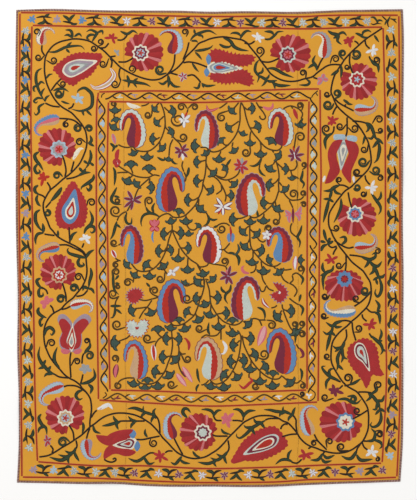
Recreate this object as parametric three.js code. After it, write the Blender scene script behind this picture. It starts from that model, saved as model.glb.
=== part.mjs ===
// A suzani, a large embroidered cloth, lying face up. Three lengths of cloth are sewn side by side, and a
// narrow woven braid is sewn along each of the four edges. Millimetres, +Z up, X across the cloth and Y
// along it, with the origin on the surface it lies on, under its middle.
import * as THREE from "three";

// Driving dimensions.
const WIDTH = 1554; // over the braid, between the furthest points of the two long edges
const LENGTH = 1912; // over the braid, between the furthest points of the two short edges
const CLOTH_THICKNESS = 2;
const BRAID_WIDTH = 8;
const BRAID_THICKNESS = 3;
const SEWN_GAP = 0.3; // between pieces that are sewn together
const LEFT_SEAM = -346; // X of the seam between the left and the middle panel
const RIGHT_SEAM = 358; // X of the seam between the middle and the right panel
const CELL = 48; // about the longest side of a facet of the cloth
const BRAID_SIDES = 8;

const COLOURS = { cloth: 0xd99c37, braid: 0x7a4a3c };

// How far each edge is drawn in from its furthest point, at a place along it. The cloth is hand-sewn, so
// no edge is straight.
const LEFT_EDGE = [
  { at: 956, drawnIn: 4 },
  { at: 752, drawnIn: 1 },
  { at: 560, drawnIn: 0 },
  { at: 368, drawnIn: 3 },
  { at: 176, drawnIn: 2 },
  { at: -16, drawnIn: 5 },
  { at: -208, drawnIn: 11 },
  { at: -400, drawnIn: 8 },
  { at: -592, drawnIn: 14 },
  { at: -784, drawnIn: 14 },
  { at: -956, drawnIn: 6 },
];
const RIGHT_EDGE = [
  { at: 956, drawnIn: 4 },
  { at: 848, drawnIn: 0 },
  { at: 656, drawnIn: 1 },
  { at: 464, drawnIn: 3 },
  { at: 80, drawnIn: 4 },
  { at: -112, drawnIn: 1 },
  { at: -400, drawnIn: 3 },
  { at: -592, drawnIn: 2 },
  { at: -784, drawnIn: 4 },
  { at: -880, drawnIn: 10 },
  { at: -956, drawnIn: 15 },
];
const TOP_EDGE = [
  { at: -777, drawnIn: 4 },
  { at: -698, drawnIn: 1 },
  { at: -634, drawnIn: 0 },
  { at: -378, drawnIn: 6 },
  { at: -118, drawnIn: 7 },
  { at: 6, drawnIn: 12 },
  { at: 134, drawnIn: 9 },
  { at: 326, drawnIn: 12 },
  { at: 390, drawnIn: 11 },
  { at: 518, drawnIn: 5 },
  { at: 646, drawnIn: 3 },
  { at: 777, drawnIn: 1 },
];
const BOTTOM_EDGE = [
  { at: -777, drawnIn: 18 },
  { at: -634, drawnIn: 15 },
  { at: -506, drawnIn: 12 },
  { at: -378, drawnIn: 13 },
  { at: -250, drawnIn: 4 },
  { at: -118, drawnIn: 1 },
  { at: 6, drawnIn: 2 },
  { at: 134, drawnIn: 0 },
  { at: 262, drawnIn: 2 },
  { at: 390, drawnIn: 8 },
  { at: 518, drawnIn: 13 },
  { at: 777, drawnIn: 22 },
];

// Low puckers where the needlework draws the cloth up off the surface: each is a soft ridge with its
// middle at x, y, lying along the angle in degrees, and the cloth is flat outside its length and width.
const PUCKERS = [
  { x: -600, y: 900, angle: 78, length: 300, width: 210, height: 3 },
  { x: 20, y: 905, angle: 96, length: 340, width: 230, height: 4 },
  { x: 380, y: 900, angle: 84, length: 280, width: 220, height: 3 },
  { x: -735, y: 470, angle: 8, length: 260, width: 240, height: 3 },
  { x: -730, y: -200, angle: -6, length: 320, width: 260, height: 4 },
  { x: -725, y: -660, angle: 12, length: 280, width: 240, height: 4 },
  { x: 740, y: 300, angle: -8, length: 260, width: 250, height: 3 },
  { x: 735, y: -480, angle: 5, length: 280, width: 240, height: 3 },
  { x: -420, y: -900, angle: 97, length: 300, width: 220, height: 4 },
  { x: 250, y: -910, angle: 84, length: 280, width: 230, height: 3 },
  { x: 620, y: -870, angle: 58, length: 260, width: 220, height: 4 },
];

const lerp = THREE.MathUtils.lerp;

// The smooth curve through an edge's table, at a place along that edge.
function drawnIn(table, place) {
  const rows = [...table].sort((a, b) => a.at - b.at);
  const last = rows.length - 1;
  const at = THREE.MathUtils.clamp(place, rows[0].at, rows[last].at);
  const i = Math.min(last - 1, Math.max(0, rows.findLastIndex((row) => row.at <= at)));
  const slope = (k) => {
    const before = rows[Math.max(0, k - 1)];
    const after = rows[Math.min(last, k + 1)];
    return (after.drawnIn - before.drawnIn) / (after.at - before.at);
  };
  const span = rows[i + 1].at - rows[i].at;
  const u = (at - rows[i].at) / span;
  const rise = u * u * (3 - 2 * u);
  const lean = slope(i) * u * (1 - u) * (1 - u) - slope(i + 1) * u * u * (1 - u);
  return lerp(rows[i].drawnIn, rows[i + 1].drawnIn, rise) + span * lean;
}

const leftEdge = (y) => -WIDTH / 2 + drawnIn(LEFT_EDGE, y);
const rightEdge = (y) => WIDTH / 2 - drawnIn(RIGHT_EDGE, y);
const bottomEdge = (x) => -LENGTH / 2 + drawnIn(BOTTOM_EDGE, x);
const topEdge = (x) => LENGTH / 2 - drawnIn(TOP_EDGE, x);

// A point of the cloth: across runs from 0 at the left edge to 1 at the right, along from 0 at the bottom
// edge to 1 at the top, both of them counted between lines that lie inset from the edges.
function clothPoint(across, along, inset) {
  let x = lerp(-WIDTH / 2, WIDTH / 2, across);
  let y = lerp(-LENGTH / 2, LENGTH / 2, along);
  const PASSES = 4; // each edge's place depends on the other's, so the point is settled in a few passes
  for (let pass = 0; pass < PASSES; pass++) {
    x = lerp(leftEdge(y) + inset, rightEdge(y) - inset, across);
    y = lerp(bottomEdge(x) + inset, topEdge(x) - inset, along);
  }
  return [x, y];
}

// How far the cloth's underside is off the surface at a point.
function lift(x, y) {
  const soft = (distance) => (distance < 1 ? Math.cos((distance * Math.PI) / 2) ** 2 : 0);
  return PUCKERS.reduce((sum, p) => {
    const turn = THREE.MathUtils.degToRad(p.angle);
    const [dx, dy] = [x - p.x, y - p.y];
    const lengthwise = Math.abs(dx * Math.cos(turn) + dy * Math.sin(turn)) / (p.length / 2);
    const crosswise = Math.abs(dy * Math.cos(turn) - dx * Math.sin(turn)) / (p.width / 2);
    return sum + p.height * soft(lengthwise) * soft(crosswise);
  }, 0);
}

// Equal steps from one number to another, each at most longest.
function steps(from, to, longest) {
  const count = Math.ceil((to - from) / longest);
  return Array.from({ length: count + 1 }, (_, i) => lerp(from, to, i / count));
}

// A closed body from rings of points, each ring joined to the next, and the first and last ones capped
// by fans. A ring's points run anticlockwise as seen from the last ring looking back to the first.
function loft(rings) {
  const sides = rings[0].length;
  const positions = rings.flat(2);
  const faces = [];
  for (let r = 0; r < rings.length - 1; r++) {
    for (let k = 0; k < sides; k++) {
      const [a, b] = [r * sides + k, r * sides + ((k + 1) % sides)];
      faces.push(a, b, b + sides, a, b + sides, a + sides);
    }
  }
  const lastRing = (rings.length - 1) * sides;
  for (let k = 1; k < sides - 1; k++) {
    faces.push(0, k + 1, k, lastRing, lastRing + k, lastRing + k + 1);
  }
  return geometryOf(positions, faces);
}

function geometryOf(positions, faces) {
  const geometry = new THREE.BufferGeometry();
  geometry.setAttribute("position", new THREE.Float32BufferAttribute(positions, 3));
  geometry.setIndex(faces);
  geometry.computeVertexNormals();
  return geometry;
}

// One length of cloth: a sheet that follows the puckers, from its stations across and along the cloth.
function sheetGeometry(across, along, inset) {
  const [columns, rows] = [across.length, along.length];
  const positions = [];
  for (const top of [0, CLOTH_THICKNESS]) {
    for (const v of along) {
      for (const u of across) {
        const [x, y] = clothPoint(u, v, inset);
        positions.push(x, y, lift(x, y) + top);
      }
    }
  }
  const layer = columns * rows;
  const faces = [];
  for (let j = 0; j < rows - 1; j++) {
    for (let i = 0; i < columns - 1; i++) {
      const a = j * columns + i;
      const [b, c, d] = [a + 1, a + columns + 1, a + columns];
      faces.push(a, c, b, a, d, c); // the underside
      faces.push(a + layer, b + layer, c + layer, a + layer, c + layer, d + layer); // the face
    }
  }
  const rim = (a, b) => faces.push(a, b, b + layer, a, b + layer, a + layer);
  for (let i = 0; i < columns - 1; i++) {
    rim(i, i + 1);
    rim((rows - 1) * columns + i + 1, (rows - 1) * columns + i);
  }
  for (let j = 0; j < rows - 1; j++) {
    rim((j + 1) * columns, j * columns);
    rim(j * columns + columns - 1, (j + 1) * columns + columns - 1);
  }
  return geometryOf(positions, faces);
}

// The braid's rounded section: how far in from the cloth's edge and how high each corner lies.
function braidSection() {
  const reach = Math.cos(Math.PI / BRAID_SIDES); // of a corner, so that the section has its full size
  return Array.from({ length: BRAID_SIDES }, (_, k) => {
    const angle = ((k + 0.5) * 2 * Math.PI) / BRAID_SIDES;
    return {
      inset: (BRAID_WIDTH / 2) * (1 - Math.cos(angle) / reach),
      height: (BRAID_THICKNESS / 2) * (1 + Math.sin(angle) / reach),
    };
  });
}

// One edge's braid, mitred at both ends: pointAt gives a point of that edge at a station and an inset.
function braidGeometry(stations, pointAt) {
  return loft(
    stations.map((station) =>
      braidSection().map(({ inset, height }) => {
        const [x, y] = pointAt(station, inset);
        return [x, y, lift(x, y) + height];
      }),
    ),
  );
}

const suzani = new THREE.Group();
const clothFinish = new THREE.MeshStandardMaterial({ color: COLOURS.cloth, roughness: 0.75, metalness: 0 });
const braidFinish = new THREE.MeshStandardMaterial({ color: COLOURS.braid, roughness: 0.85, metalness: 0 });

function addPiece(name, geometry, finish) {
  const mesh = new THREE.Mesh(geometry, finish);
  mesh.name = name;
  suzani.add(mesh);
}

const share = (x) => (x + WIDTH / 2) / WIDTH; // of the way across
const along = steps(0, 1, CELL / LENGTH);
const panels = [
  { name: "panel_left", from: 0, to: share(LEFT_SEAM) },
  { name: "panel_middle", from: share(LEFT_SEAM), to: share(RIGHT_SEAM) },
  { name: "panel_right", from: share(RIGHT_SEAM), to: 1 },
];
const acrossOf = ({ from, to }) => steps(from, to, CELL / WIDTH);

for (const panel of panels) {
  const across = acrossOf(panel);
  const halfGap = SEWN_GAP / 2 / WIDTH;
  if (panel.from > 0) across[0] += halfGap;
  if (panel.to < 1) across[across.length - 1] -= halfGap;
  addPiece(panel.name, sheetGeometry(across, along, BRAID_WIDTH + SEWN_GAP), clothFinish);
}

// The braids share the panels' stations, so that they lie parallel to them. Those of the short edges are
// trimmed where they meet the mitred ends of the long ones.
const trim = (SEWN_GAP * Math.SQRT2) / WIDTH;
const acrossAll = panels.flatMap((panel, i) => acrossOf(panel).slice(i ? 1 : 0));
acrossAll[0] += trim;
acrossAll[acrossAll.length - 1] -= trim;
const downAlong = [...along].reverse();
const leftAcross = [...acrossAll].reverse();
const braids = [
  { name: "braid_left", stations: along, pointAt: (v, inset) => clothPoint(0, v, inset) },
  { name: "braid_right", stations: downAlong, pointAt: (v, inset) => clothPoint(1, v, inset) },
  { name: "braid_bottom", stations: leftAcross, pointAt: (u, inset) => clothPoint(u, 0, inset) },
  { name: "braid_top", stations: acrossAll, pointAt: (u, inset) => clothPoint(u, 1, inset) },
];
for (const { name, stations, pointAt } of braids) {
  addPiece(name, braidGeometry(stations, pointAt), braidFinish);
}

export default suzani;
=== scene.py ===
# A suzani, a large embroidered cloth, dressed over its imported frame. Metres, in the frame's own axes: X
# across the cloth, Y along it and Z up, with the origin on the surface under the cloth's middle.
import math

import bmesh
import bpy
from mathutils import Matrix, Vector, noise
from mathutils.bvhtree import BVHTree


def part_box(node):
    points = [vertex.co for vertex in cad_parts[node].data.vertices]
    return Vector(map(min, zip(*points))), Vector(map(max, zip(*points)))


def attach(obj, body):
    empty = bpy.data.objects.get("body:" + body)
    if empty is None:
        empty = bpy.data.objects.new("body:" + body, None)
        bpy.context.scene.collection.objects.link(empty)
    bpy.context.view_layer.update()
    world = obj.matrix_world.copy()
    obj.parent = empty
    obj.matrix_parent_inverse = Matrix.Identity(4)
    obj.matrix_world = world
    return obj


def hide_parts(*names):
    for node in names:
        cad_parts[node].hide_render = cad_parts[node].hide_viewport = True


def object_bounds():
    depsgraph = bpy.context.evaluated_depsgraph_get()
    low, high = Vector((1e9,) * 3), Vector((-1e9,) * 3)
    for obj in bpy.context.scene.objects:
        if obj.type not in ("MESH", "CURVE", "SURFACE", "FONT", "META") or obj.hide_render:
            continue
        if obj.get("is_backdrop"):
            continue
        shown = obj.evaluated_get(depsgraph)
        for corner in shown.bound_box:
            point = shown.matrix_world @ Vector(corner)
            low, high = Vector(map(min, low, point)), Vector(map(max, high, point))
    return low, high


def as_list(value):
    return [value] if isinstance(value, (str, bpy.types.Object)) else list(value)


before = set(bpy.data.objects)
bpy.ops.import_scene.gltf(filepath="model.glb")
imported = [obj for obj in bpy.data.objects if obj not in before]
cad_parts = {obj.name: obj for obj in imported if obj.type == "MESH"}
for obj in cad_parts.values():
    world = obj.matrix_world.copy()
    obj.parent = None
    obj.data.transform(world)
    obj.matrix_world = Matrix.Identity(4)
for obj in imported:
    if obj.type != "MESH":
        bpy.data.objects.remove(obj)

bpy.context.view_layer.update()
cad_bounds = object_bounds()

# The chart that the needlework is drawn on. Its squares are counted from the left and from the top, and one
# square is about the width of a stem.
SQUARE = 0.004
CHART_MIDDLE_ACROSS = 209.5
CHART_MIDDLE_DOWN = 248.0

# The cloth.
CLOTH_CUTS = 3  # times that each facet of the frame's cloth is halved
RIPPLE_HEIGHT = 0.0006
RIPPLE_SPAN = 0.055
SEAM_DIP = 0.0004
SEAM_DIP_WIDTH = 0.004
BRAID_CUTS = 15
BRAID_PLY_HEIGHT = 0.0005
BRAID_PLY_SPACING = 0.011

# The needlework, in metres above the cloth's face.
THREAD_HEIGHT = 0.0007
CROWN_HEIGHT = 0.0003
SUNK = 0.0003
ROLLED_EDGE = 0.3  # share of a strip's half width that its edge takes to rise

# The needlework, in chart squares.
STEM_WIDTH = 1.7
BORDER_STEM_WIDTH = 1.95
THIN_STEM_WIDTH = 1.2
ARM_FULLNESS = 1.35  # times the widths in the tables
CURL_FULLNESS = 1.2
FIELD_CURL_FULLNESS = 1.3
PETAL_FULLNESS = 1.15
LINE_WIDTH = 1.5
STATION = 1.3  # between the stations of a smooth line
FINE_STATION = 0.7

# The chain stitch.
ROW_WIDTH = 0.0022
STITCH_LENGTH = 0.0048
STITCH_LAG = 0.5  # of a stitch, at the edges of its row

# The finishes. A grain is how fine a pattern is, and a range is its darkest and lightest share of a colour.
DYE_GRAIN = 45.0
DYE_RANGE = (0.86, 1.12)
WEAR_GRAIN = 420.0
WEAR_RANGE = (0.82, 1.14)
WEAR_SHARE = 0.45
# Darkest share of a thread's colour, painted as shade where its stitches dip between rows.
ROW_GAP_PAINTED_SHADE = 0.7
CLOTH_THREAD_SPACING = 0.0013
SLUB_GRAIN = 160.0
PATCH_GRAIN = 7.0
PATCH_RANGE = (0.93, 1.05)
MOTTLE_GRAIN = 60.0
# Darkest share of the cloth's colour, painted as shade where its crossed threads dip.
WEAVE_GAP_PAINTED_SHADE = 0.78
BRAID_FLECK_GRAIN = 90.0
BRAID_FUZZ_GRAIN = 900.0

# Colours of the threads, as red, green and blue out of 255.
THREADS = {
    "black": (36, 20, 4),
    "olive": (76, 52, 8),
    "teal": (44, 62, 38),
    "ivy": (60, 82, 72),
    "crimson": (175, 41, 42),
    # A darker copy of crimson, painted as shade on every other petal of the rosettes.
    "madder": (158, 34, 36),
    "wine": (120, 34, 56),
    "scarlet": (184, 42, 24),
    "pink": (212, 105, 115),
    "rose": (228, 165, 165),
    "blush": (216, 122, 122),
    "blue": (98, 138, 180),
    "pale blue": (172, 192, 204),
    "grey": (158, 158, 158),
    "silver": (202, 210, 200),
    "white": (235, 228, 225),
    "cream": (244, 226, 204),
    "lilac": (165, 145, 158),
    "sand": (205, 165, 125),
    "brick": (160, 42, 16),
    "amber": (226, 140, 60),
}
CLOTH_COLOUR = (219, 155, 48)
CLOTH_REDDISH = (222, 148, 50)
CLOTH_YELLOWISH = (216, 162, 46)
BRAID_DARK = (84, 50, 40)
BRAID_LIGHT = (188, 150, 140)
FLOOR_COLOUR = (246, 245, 243)

# The camera, straight above the cloth, and the daylight.
LENS = 100  # millimetres
CAMERA_PLACE = (-0.004, -0.008, 5.556)
DAYLIGHT = 0.8
FLOOR_HALF_WIDTH = 4.0

# The plan view that the finishes are baked through.
PLAN_SPAN = 2.0
PLAN_MIDDLE_ACROSS = 0.25
PLAN_MIDDLE_ALONG = 0.5
UNDERSIDE_ASIDE = 0.5
FACING_UP = 0.5  # least upward share of the normal of a face's corner on the upper side


# Materials

def linear(colour):
    """A colour out of 255 as the renderer's linear one."""
    shares = [channel / 255 for channel in colour]
    return [s / 12.92 if s <= 0.04045 else ((s + 0.055) / 1.055) ** 2.4 for s in shares]


def scaled(colour, factor):
    """A colour out of 255 made lighter or darker."""
    return tuple(min(255, channel * factor) for channel in colour)


class Finish:
    """A material and the nodes that it is made of."""

    def __init__(self, name, roughness, sheen):
        self.material = bpy.data.materials.new(name)
        self.material.use_nodes = True
        self.tree = self.material.node_tree
        self.shader = self.tree.nodes["Principled BSDF"]
        self.shader.inputs["Roughness"].default_value = roughness
        self.shader.inputs["Sheen Weight"].default_value = sheen
        self.shader.inputs["Specular IOR Level"].default_value = 0.2

    def node(self, kind, **inputs):
        made = self.tree.nodes.new(kind)
        for name, value in inputs.items():
            self.connect(value, made.inputs[name])
        return made

    def connect(self, value, socket):
        if isinstance(value, bpy.types.NodeSocket):
            self.tree.links.new(value, socket)
        else:
            socket.default_value = value

    def math(self, operation, *values):
        made = self.tree.nodes.new("ShaderNodeMath")
        made.operation = operation
        for value, socket in zip(values, made.inputs):
            self.connect(value, socket)
        return made.outputs[0]

    def noise(self, scale, detail=2.0):
        where = self.node("ShaderNodeTexCoord").outputs["Object"]
        return self.node("ShaderNodeTexNoise", Vector=where, Scale=scale, Detail=detail).outputs["Fac"]

    def between(self, share, dark, light):
        """A colour from dark to light, as share goes from 0 to 1."""
        mix = self.tree.nodes.new("ShaderNodeMix")
        mix.data_type = "RGBA"
        self.connect(share, mix.inputs["Factor"])
        for colour, socket in ((dark, mix.inputs["A"]), (light, mix.inputs["B"])):
            fixed = not isinstance(colour, bpy.types.NodeSocket)
            self.connect([*linear(colour), 1] if fixed else colour, socket)
        return mix.outputs["Result"]

    def bump(self, height, distance, strength):
        made = self.node("ShaderNodeBump", Height=height, Distance=distance, Strength=strength)
        self.tree.links.new(made.outputs["Normal"], self.shader.inputs["Normal"])

    def colour(self, colour):
        self.connect(colour, self.shader.inputs["Base Color"])


def ridge(finish, share):
    """1 in the middle of each cell of a running count, and 0 between the cells."""
    part = finish.math("FRACT", share)
    from_middle = finish.math("ABSOLUTE", finish.math("SUBTRACT", finish.math("MULTIPLY", part, 2.0), 1.0))
    return from_middle, finish.math("SUBTRACT", 1.0, finish.math("MULTIPLY", from_middle, from_middle))


def thread_finish(name, colour):
    """Silk thread in rows of chain stitch, which follow the map that the needlework is laid out with."""
    finish = Finish("thread_" + name.replace(" ", "_"), roughness=0.6, sheen=0.15)
    layout = finish.node("ShaderNodeUVMap")
    layout.uv_map = "Stitches"
    split = finish.node("ShaderNodeSeparateXYZ", Vector=layout.outputs["UV"])
    from_middle, row = ridge(finish, finish.math("DIVIDE", split.outputs["Y"], ROW_WIDTH))
    lagging = finish.math("MULTIPLY", from_middle, STITCH_LAG)
    link = finish.math("ADD", finish.math("DIVIDE", split.outputs["X"], STITCH_LENGTH), lagging)
    _, stitch = ridge(finish, link)
    height = finish.math("MULTIPLY", row, finish.math("MULTIPLY_ADD", stitch, 0.5, 0.5))
    finish.bump(height, distance=0.0006, strength=0.7)
    dyed = finish.between(finish.noise(DYE_GRAIN), *(scaled(colour, share) for share in DYE_RANGE))
    worn = finish.between(finish.noise(WEAR_GRAIN, 1.0), *(scaled(colour, share) for share in WEAR_RANGE))
    thread = finish.between(WEAR_SHARE, dyed, worn)
    # Painted shade: the thread's colour darkens where its stitch relief dips, between rows and between
    # stitches.
    lit = finish.math("MULTIPLY_ADD", height, 0.7, 0.3)
    finish.colour(finish.between(lit, scaled(colour, ROW_GAP_PAINTED_SHADE), thread))
    return finish.material


def cloth_finish():
    """Hand-loomed cloth, dyed a little unevenly: crossed threads, and a slub here and there."""
    finish = Finish("ground_cloth", roughness=0.75, sheen=0.1)
    where = finish.node("ShaderNodeTexCoord").outputs["Object"]
    split = finish.node("ShaderNodeSeparateXYZ", Vector=where)
    _, warp = ridge(finish, finish.math("DIVIDE", split.outputs["X"], CLOTH_THREAD_SPACING))
    _, weft = ridge(finish, finish.math("DIVIDE", split.outputs["Y"], CLOTH_THREAD_SPACING))
    weave = finish.math("MULTIPLY", warp, weft)
    slubs = finish.noise(SLUB_GRAIN, 3.0)
    finish.bump(finish.math("ADD", weave, slubs), distance=0.0003, strength=0.6)
    dark, light = (scaled(CLOTH_COLOUR, share) for share in PATCH_RANGE)
    patches = finish.between(finish.noise(PATCH_GRAIN, 3.0), dark, light)
    mottled = finish.between(finish.noise(MOTTLE_GRAIN, 3.0), CLOTH_REDDISH, CLOTH_YELLOWISH)
    dyed = finish.between(0.5, patches, mottled)
    # Painted shade: the cloth's colour darkens where the weave dips between its crossed threads.
    lit = finish.math("MULTIPLY_ADD", weave, 0.4, 0.6)
    finish.colour(finish.between(lit, scaled(CLOTH_COLOUR, WEAVE_GAP_PAINTED_SHADE), dyed))
    return finish.material


def braid_finish():
    """A narrow plaited braid of a dark and a light thread."""
    finish = Finish("edging_braid", roughness=0.8, sheen=0.15)
    layout = finish.node("ShaderNodeUVMap")
    layout.uv_map = "Stitches"
    split = finish.node("ShaderNodeSeparateXYZ", Vector=layout.outputs["UV"])
    _, ply = ridge(finish, finish.math("ADD", split.outputs["X"], split.outputs["Y"]))
    flecked = finish.math("MULTIPLY", ply, finish.noise(BRAID_FLECK_GRAIN))
    finish.colour(finish.between(flecked, BRAID_DARK, BRAID_LIGHT))
    finish.bump(finish.noise(BRAID_FUZZ_GRAIN), distance=0.0003, strength=0.5)
    return finish.material


def floor_finish():
    finish = Finish("pale_floor", roughness=0.9, sheen=0.0)
    finish.colour([*linear(FLOOR_COLOUR), 1])
    return finish.material


# The cloth and its edging

def soft_copy(node):
    """A CAD node's mesh in a new bmesh, with its shared corners joined."""
    mesh = bmesh.new()
    mesh.from_mesh(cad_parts[node].data)
    bmesh.ops.remove_doubles(mesh, verts=mesh.verts, dist=1e-6)
    return mesh


def add_piece(name, mesh, finishes):
    data = bpy.data.meshes.new(name)
    mesh.to_mesh(data)
    mesh.free()
    for finish in finishes:
        data.materials.append(finish)
    data.shade_smooth()
    piece = bpy.data.objects.new(name, data)
    bpy.context.scene.collection.objects.link(piece)
    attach(piece, "root")
    return piece


def flat_map(mesh):
    """The map that the finishes are baked through: the cloth from above, with its underside set apart."""
    layer = mesh.loops.layers.uv.new("OFBake")
    for face in mesh.faces:
        aside = UNDERSIDE_ASIDE if face.normal.z < -FACING_UP else 0.0
        for loop in face.loops:
            spot = loop.vert.co
            across = aside + PLAN_MIDDLE_ACROSS + spot.x / PLAN_SPAN / 2
            loop[layer].uv = (across, PLAN_MIDDLE_ALONG + spot.y / PLAN_SPAN)


SEAM_PLACES = [
    (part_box(left)[1].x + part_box(right)[0].x) / 2
    for left, right in (("panel_left", "panel_middle"), ("panel_middle", "panel_right"))
]


def seam_dip(x):
    """How far the face goes down beside a seam, where the cloth is turned in."""
    return sum(SEAM_DIP * math.exp(-(((x - seam) / SEAM_DIP_WIDTH) ** 2)) for seam in SEAM_PLACES)


def ripple(x, y):
    """The small unevenness of a cloth that needlework has drawn up."""
    return RIPPLE_HEIGHT * noise.noise(Vector((x / RIPPLE_SPAN, y / RIPPLE_SPAN, 0)))


def make_panel(side, finish):
    """One length of cloth: the frame's panel, halved a few times with its rim kept, and rippled."""
    mesh = soft_copy("panel_" + side)
    bmesh.ops.join_triangles(mesh, faces=mesh.faces, angle_face_threshold=0.3, angle_shape_threshold=3.0)
    creases = mesh.edges.layers.float.new("crease_edge")
    sharp = 0.7
    for edge in mesh.edges:
        edge[creases] = 1.0 if edge.calc_face_angle(0) > sharp else 0.0
    corner_creases = mesh.verts.layers.float.new("crease_vert")
    for corner in mesh.verts:
        rim_edges = [edge for edge in corner.link_edges if edge[creases]]
        corner[corner_creases] = 1.0 if len(rim_edges) > 2 else 0.0
    data = bpy.data.meshes.new("halving")
    mesh.to_mesh(data)
    mesh.free()
    halved = bpy.data.objects.new("halving", data)
    bpy.context.scene.collection.objects.link(halved)
    halving = halved.modifiers.new("halving", "SUBSURF")
    halving.levels = CLOTH_CUTS
    evaluated = halved.evaluated_get(bpy.context.evaluated_depsgraph_get())
    fine = bmesh.new()
    fine.from_mesh(evaluated.to_mesh())
    bpy.data.objects.remove(halved)
    for corner in fine.verts:
        if corner.normal.z > FACING_UP:
            corner.co.z += ripple(corner.co.x, corner.co.y) - seam_dip(corner.co.x)
    fine.normal_update()
    flat_map(fine)
    piece = add_piece("cloth_" + side, fine, [finish])
    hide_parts("panel_" + side)
    return piece


def make_braid(side, finish):
    """An edge's braid: the frame's braid, cut into short stations and twisted into plies."""
    mesh = soft_copy("braid_" + side)
    upright = side in ("left", "right")
    inward = {
        "left": Vector((1, 0)),
        "right": Vector((-1, 0)),
        "bottom": Vector((0, 1)),
        "top": Vector((0, -1)),
    }
    bmesh.ops.join_triangles(mesh, faces=mesh.faces, angle_face_threshold=0.3, angle_shape_threshold=3.0)
    station = 0.02
    long_edges = [edge for edge in mesh.edges if edge.calc_length() > station]
    bmesh.ops.subdivide_edges(mesh, edges=long_edges, cuts=BRAID_CUTS, use_grid_fill=True)
    mesh.normal_update()
    layer = mesh.loops.layers.uv.new("Stitches")
    turns = {}
    for corner in mesh.verts:
        runs = corner.co.y if upright else corner.co.x
        facing = corner.normal.xy.dot(inward[side])
        turns[corner.index] = (runs / BRAID_PLY_SPACING, math.atan2(corner.normal.z, facing) / math.tau)
    for face in mesh.faces:
        for loop in face.loops:
            loop[layer].uv = turns[loop.vert.index]
    for corner in mesh.verts:
        ply = math.cos(math.tau * sum(turns[corner.index]))
        if corner.co.z > 2 * BRAID_PLY_HEIGHT:
            corner.co += corner.normal * BRAID_PLY_HEIGHT * (ply - 1) / 2
    flat_map(mesh)
    piece = add_piece("edging_" + side, mesh, [finish])
    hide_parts("braid_" + side)
    return piece


class ClothFace:
    """The cloth's upper face, to lay needlework on."""

    def __init__(self, panels):
        points = []
        faces = []
        for panel in panels:
            first = len(points)
            points.extend(vertex.co[:] for vertex in panel.data.vertices)
            faces.extend([first + corner for corner in face.vertices] for face in panel.data.polygons)
        self.tree = BVHTree.FromPolygons(points, faces)

    def height(self, x, y):
        above = Vector((x, y, 1))
        hit = self.tree.ray_cast(above, Vector((0, 0, -1)))[0]
        if hit is None:
            hit = self.tree.find_nearest(above)[0]
        return hit.z


# Drawing on the chart

def smooth(points, station=STATION):
    """A smooth line through some places of the chart, as closely spaced stations."""
    places = [Vector(point) for point in points]
    ends = [places[0] * 2 - places[1], *places, places[-1] * 2 - places[-2]]
    line = [places[0]]
    for before, start, end, after in zip(ends, ends[1:], ends[2:], ends[3:]):
        count = max(1, math.ceil((end - start).length / station))
        for step in range(1, count + 1):
            u = step / count
            leaving = (end - before) / 2
            arriving = (after - start) / 2
            line.append(
                start * (2 * u**3 - 3 * u**2 + 1)
                + leaving * (u**3 - 2 * u**2 + u)
                + end * (3 * u**2 - 2 * u**3)
                + arriving * (u**3 - u**2)
            )
    return line


def toward(degrees):
    """A step of one square on the chart, at an angle counted anticlockwise from straight across."""
    angle = math.radians(degrees)
    return Vector((math.cos(angle), -math.sin(angle)))


def even(width):
    """The half width of a strip that is the same all along."""
    return lambda share: width / 2


def belly(width, widest, base, tip):
    """The half width of a leaf or petal that swells to its widest and closes at both ends. The smaller base
    and tip are, the blunter that end is."""

    def half(share):
        if not 0 < share < 1:
            return 0.0
        if share < widest:
            return width / 2 * math.sin(math.pi / 2 * share / widest) ** base
        return width / 2 * max(0.0, math.cos(math.pi / 2 * (share - widest) / (1 - widest))) ** tip

    return half


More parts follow.
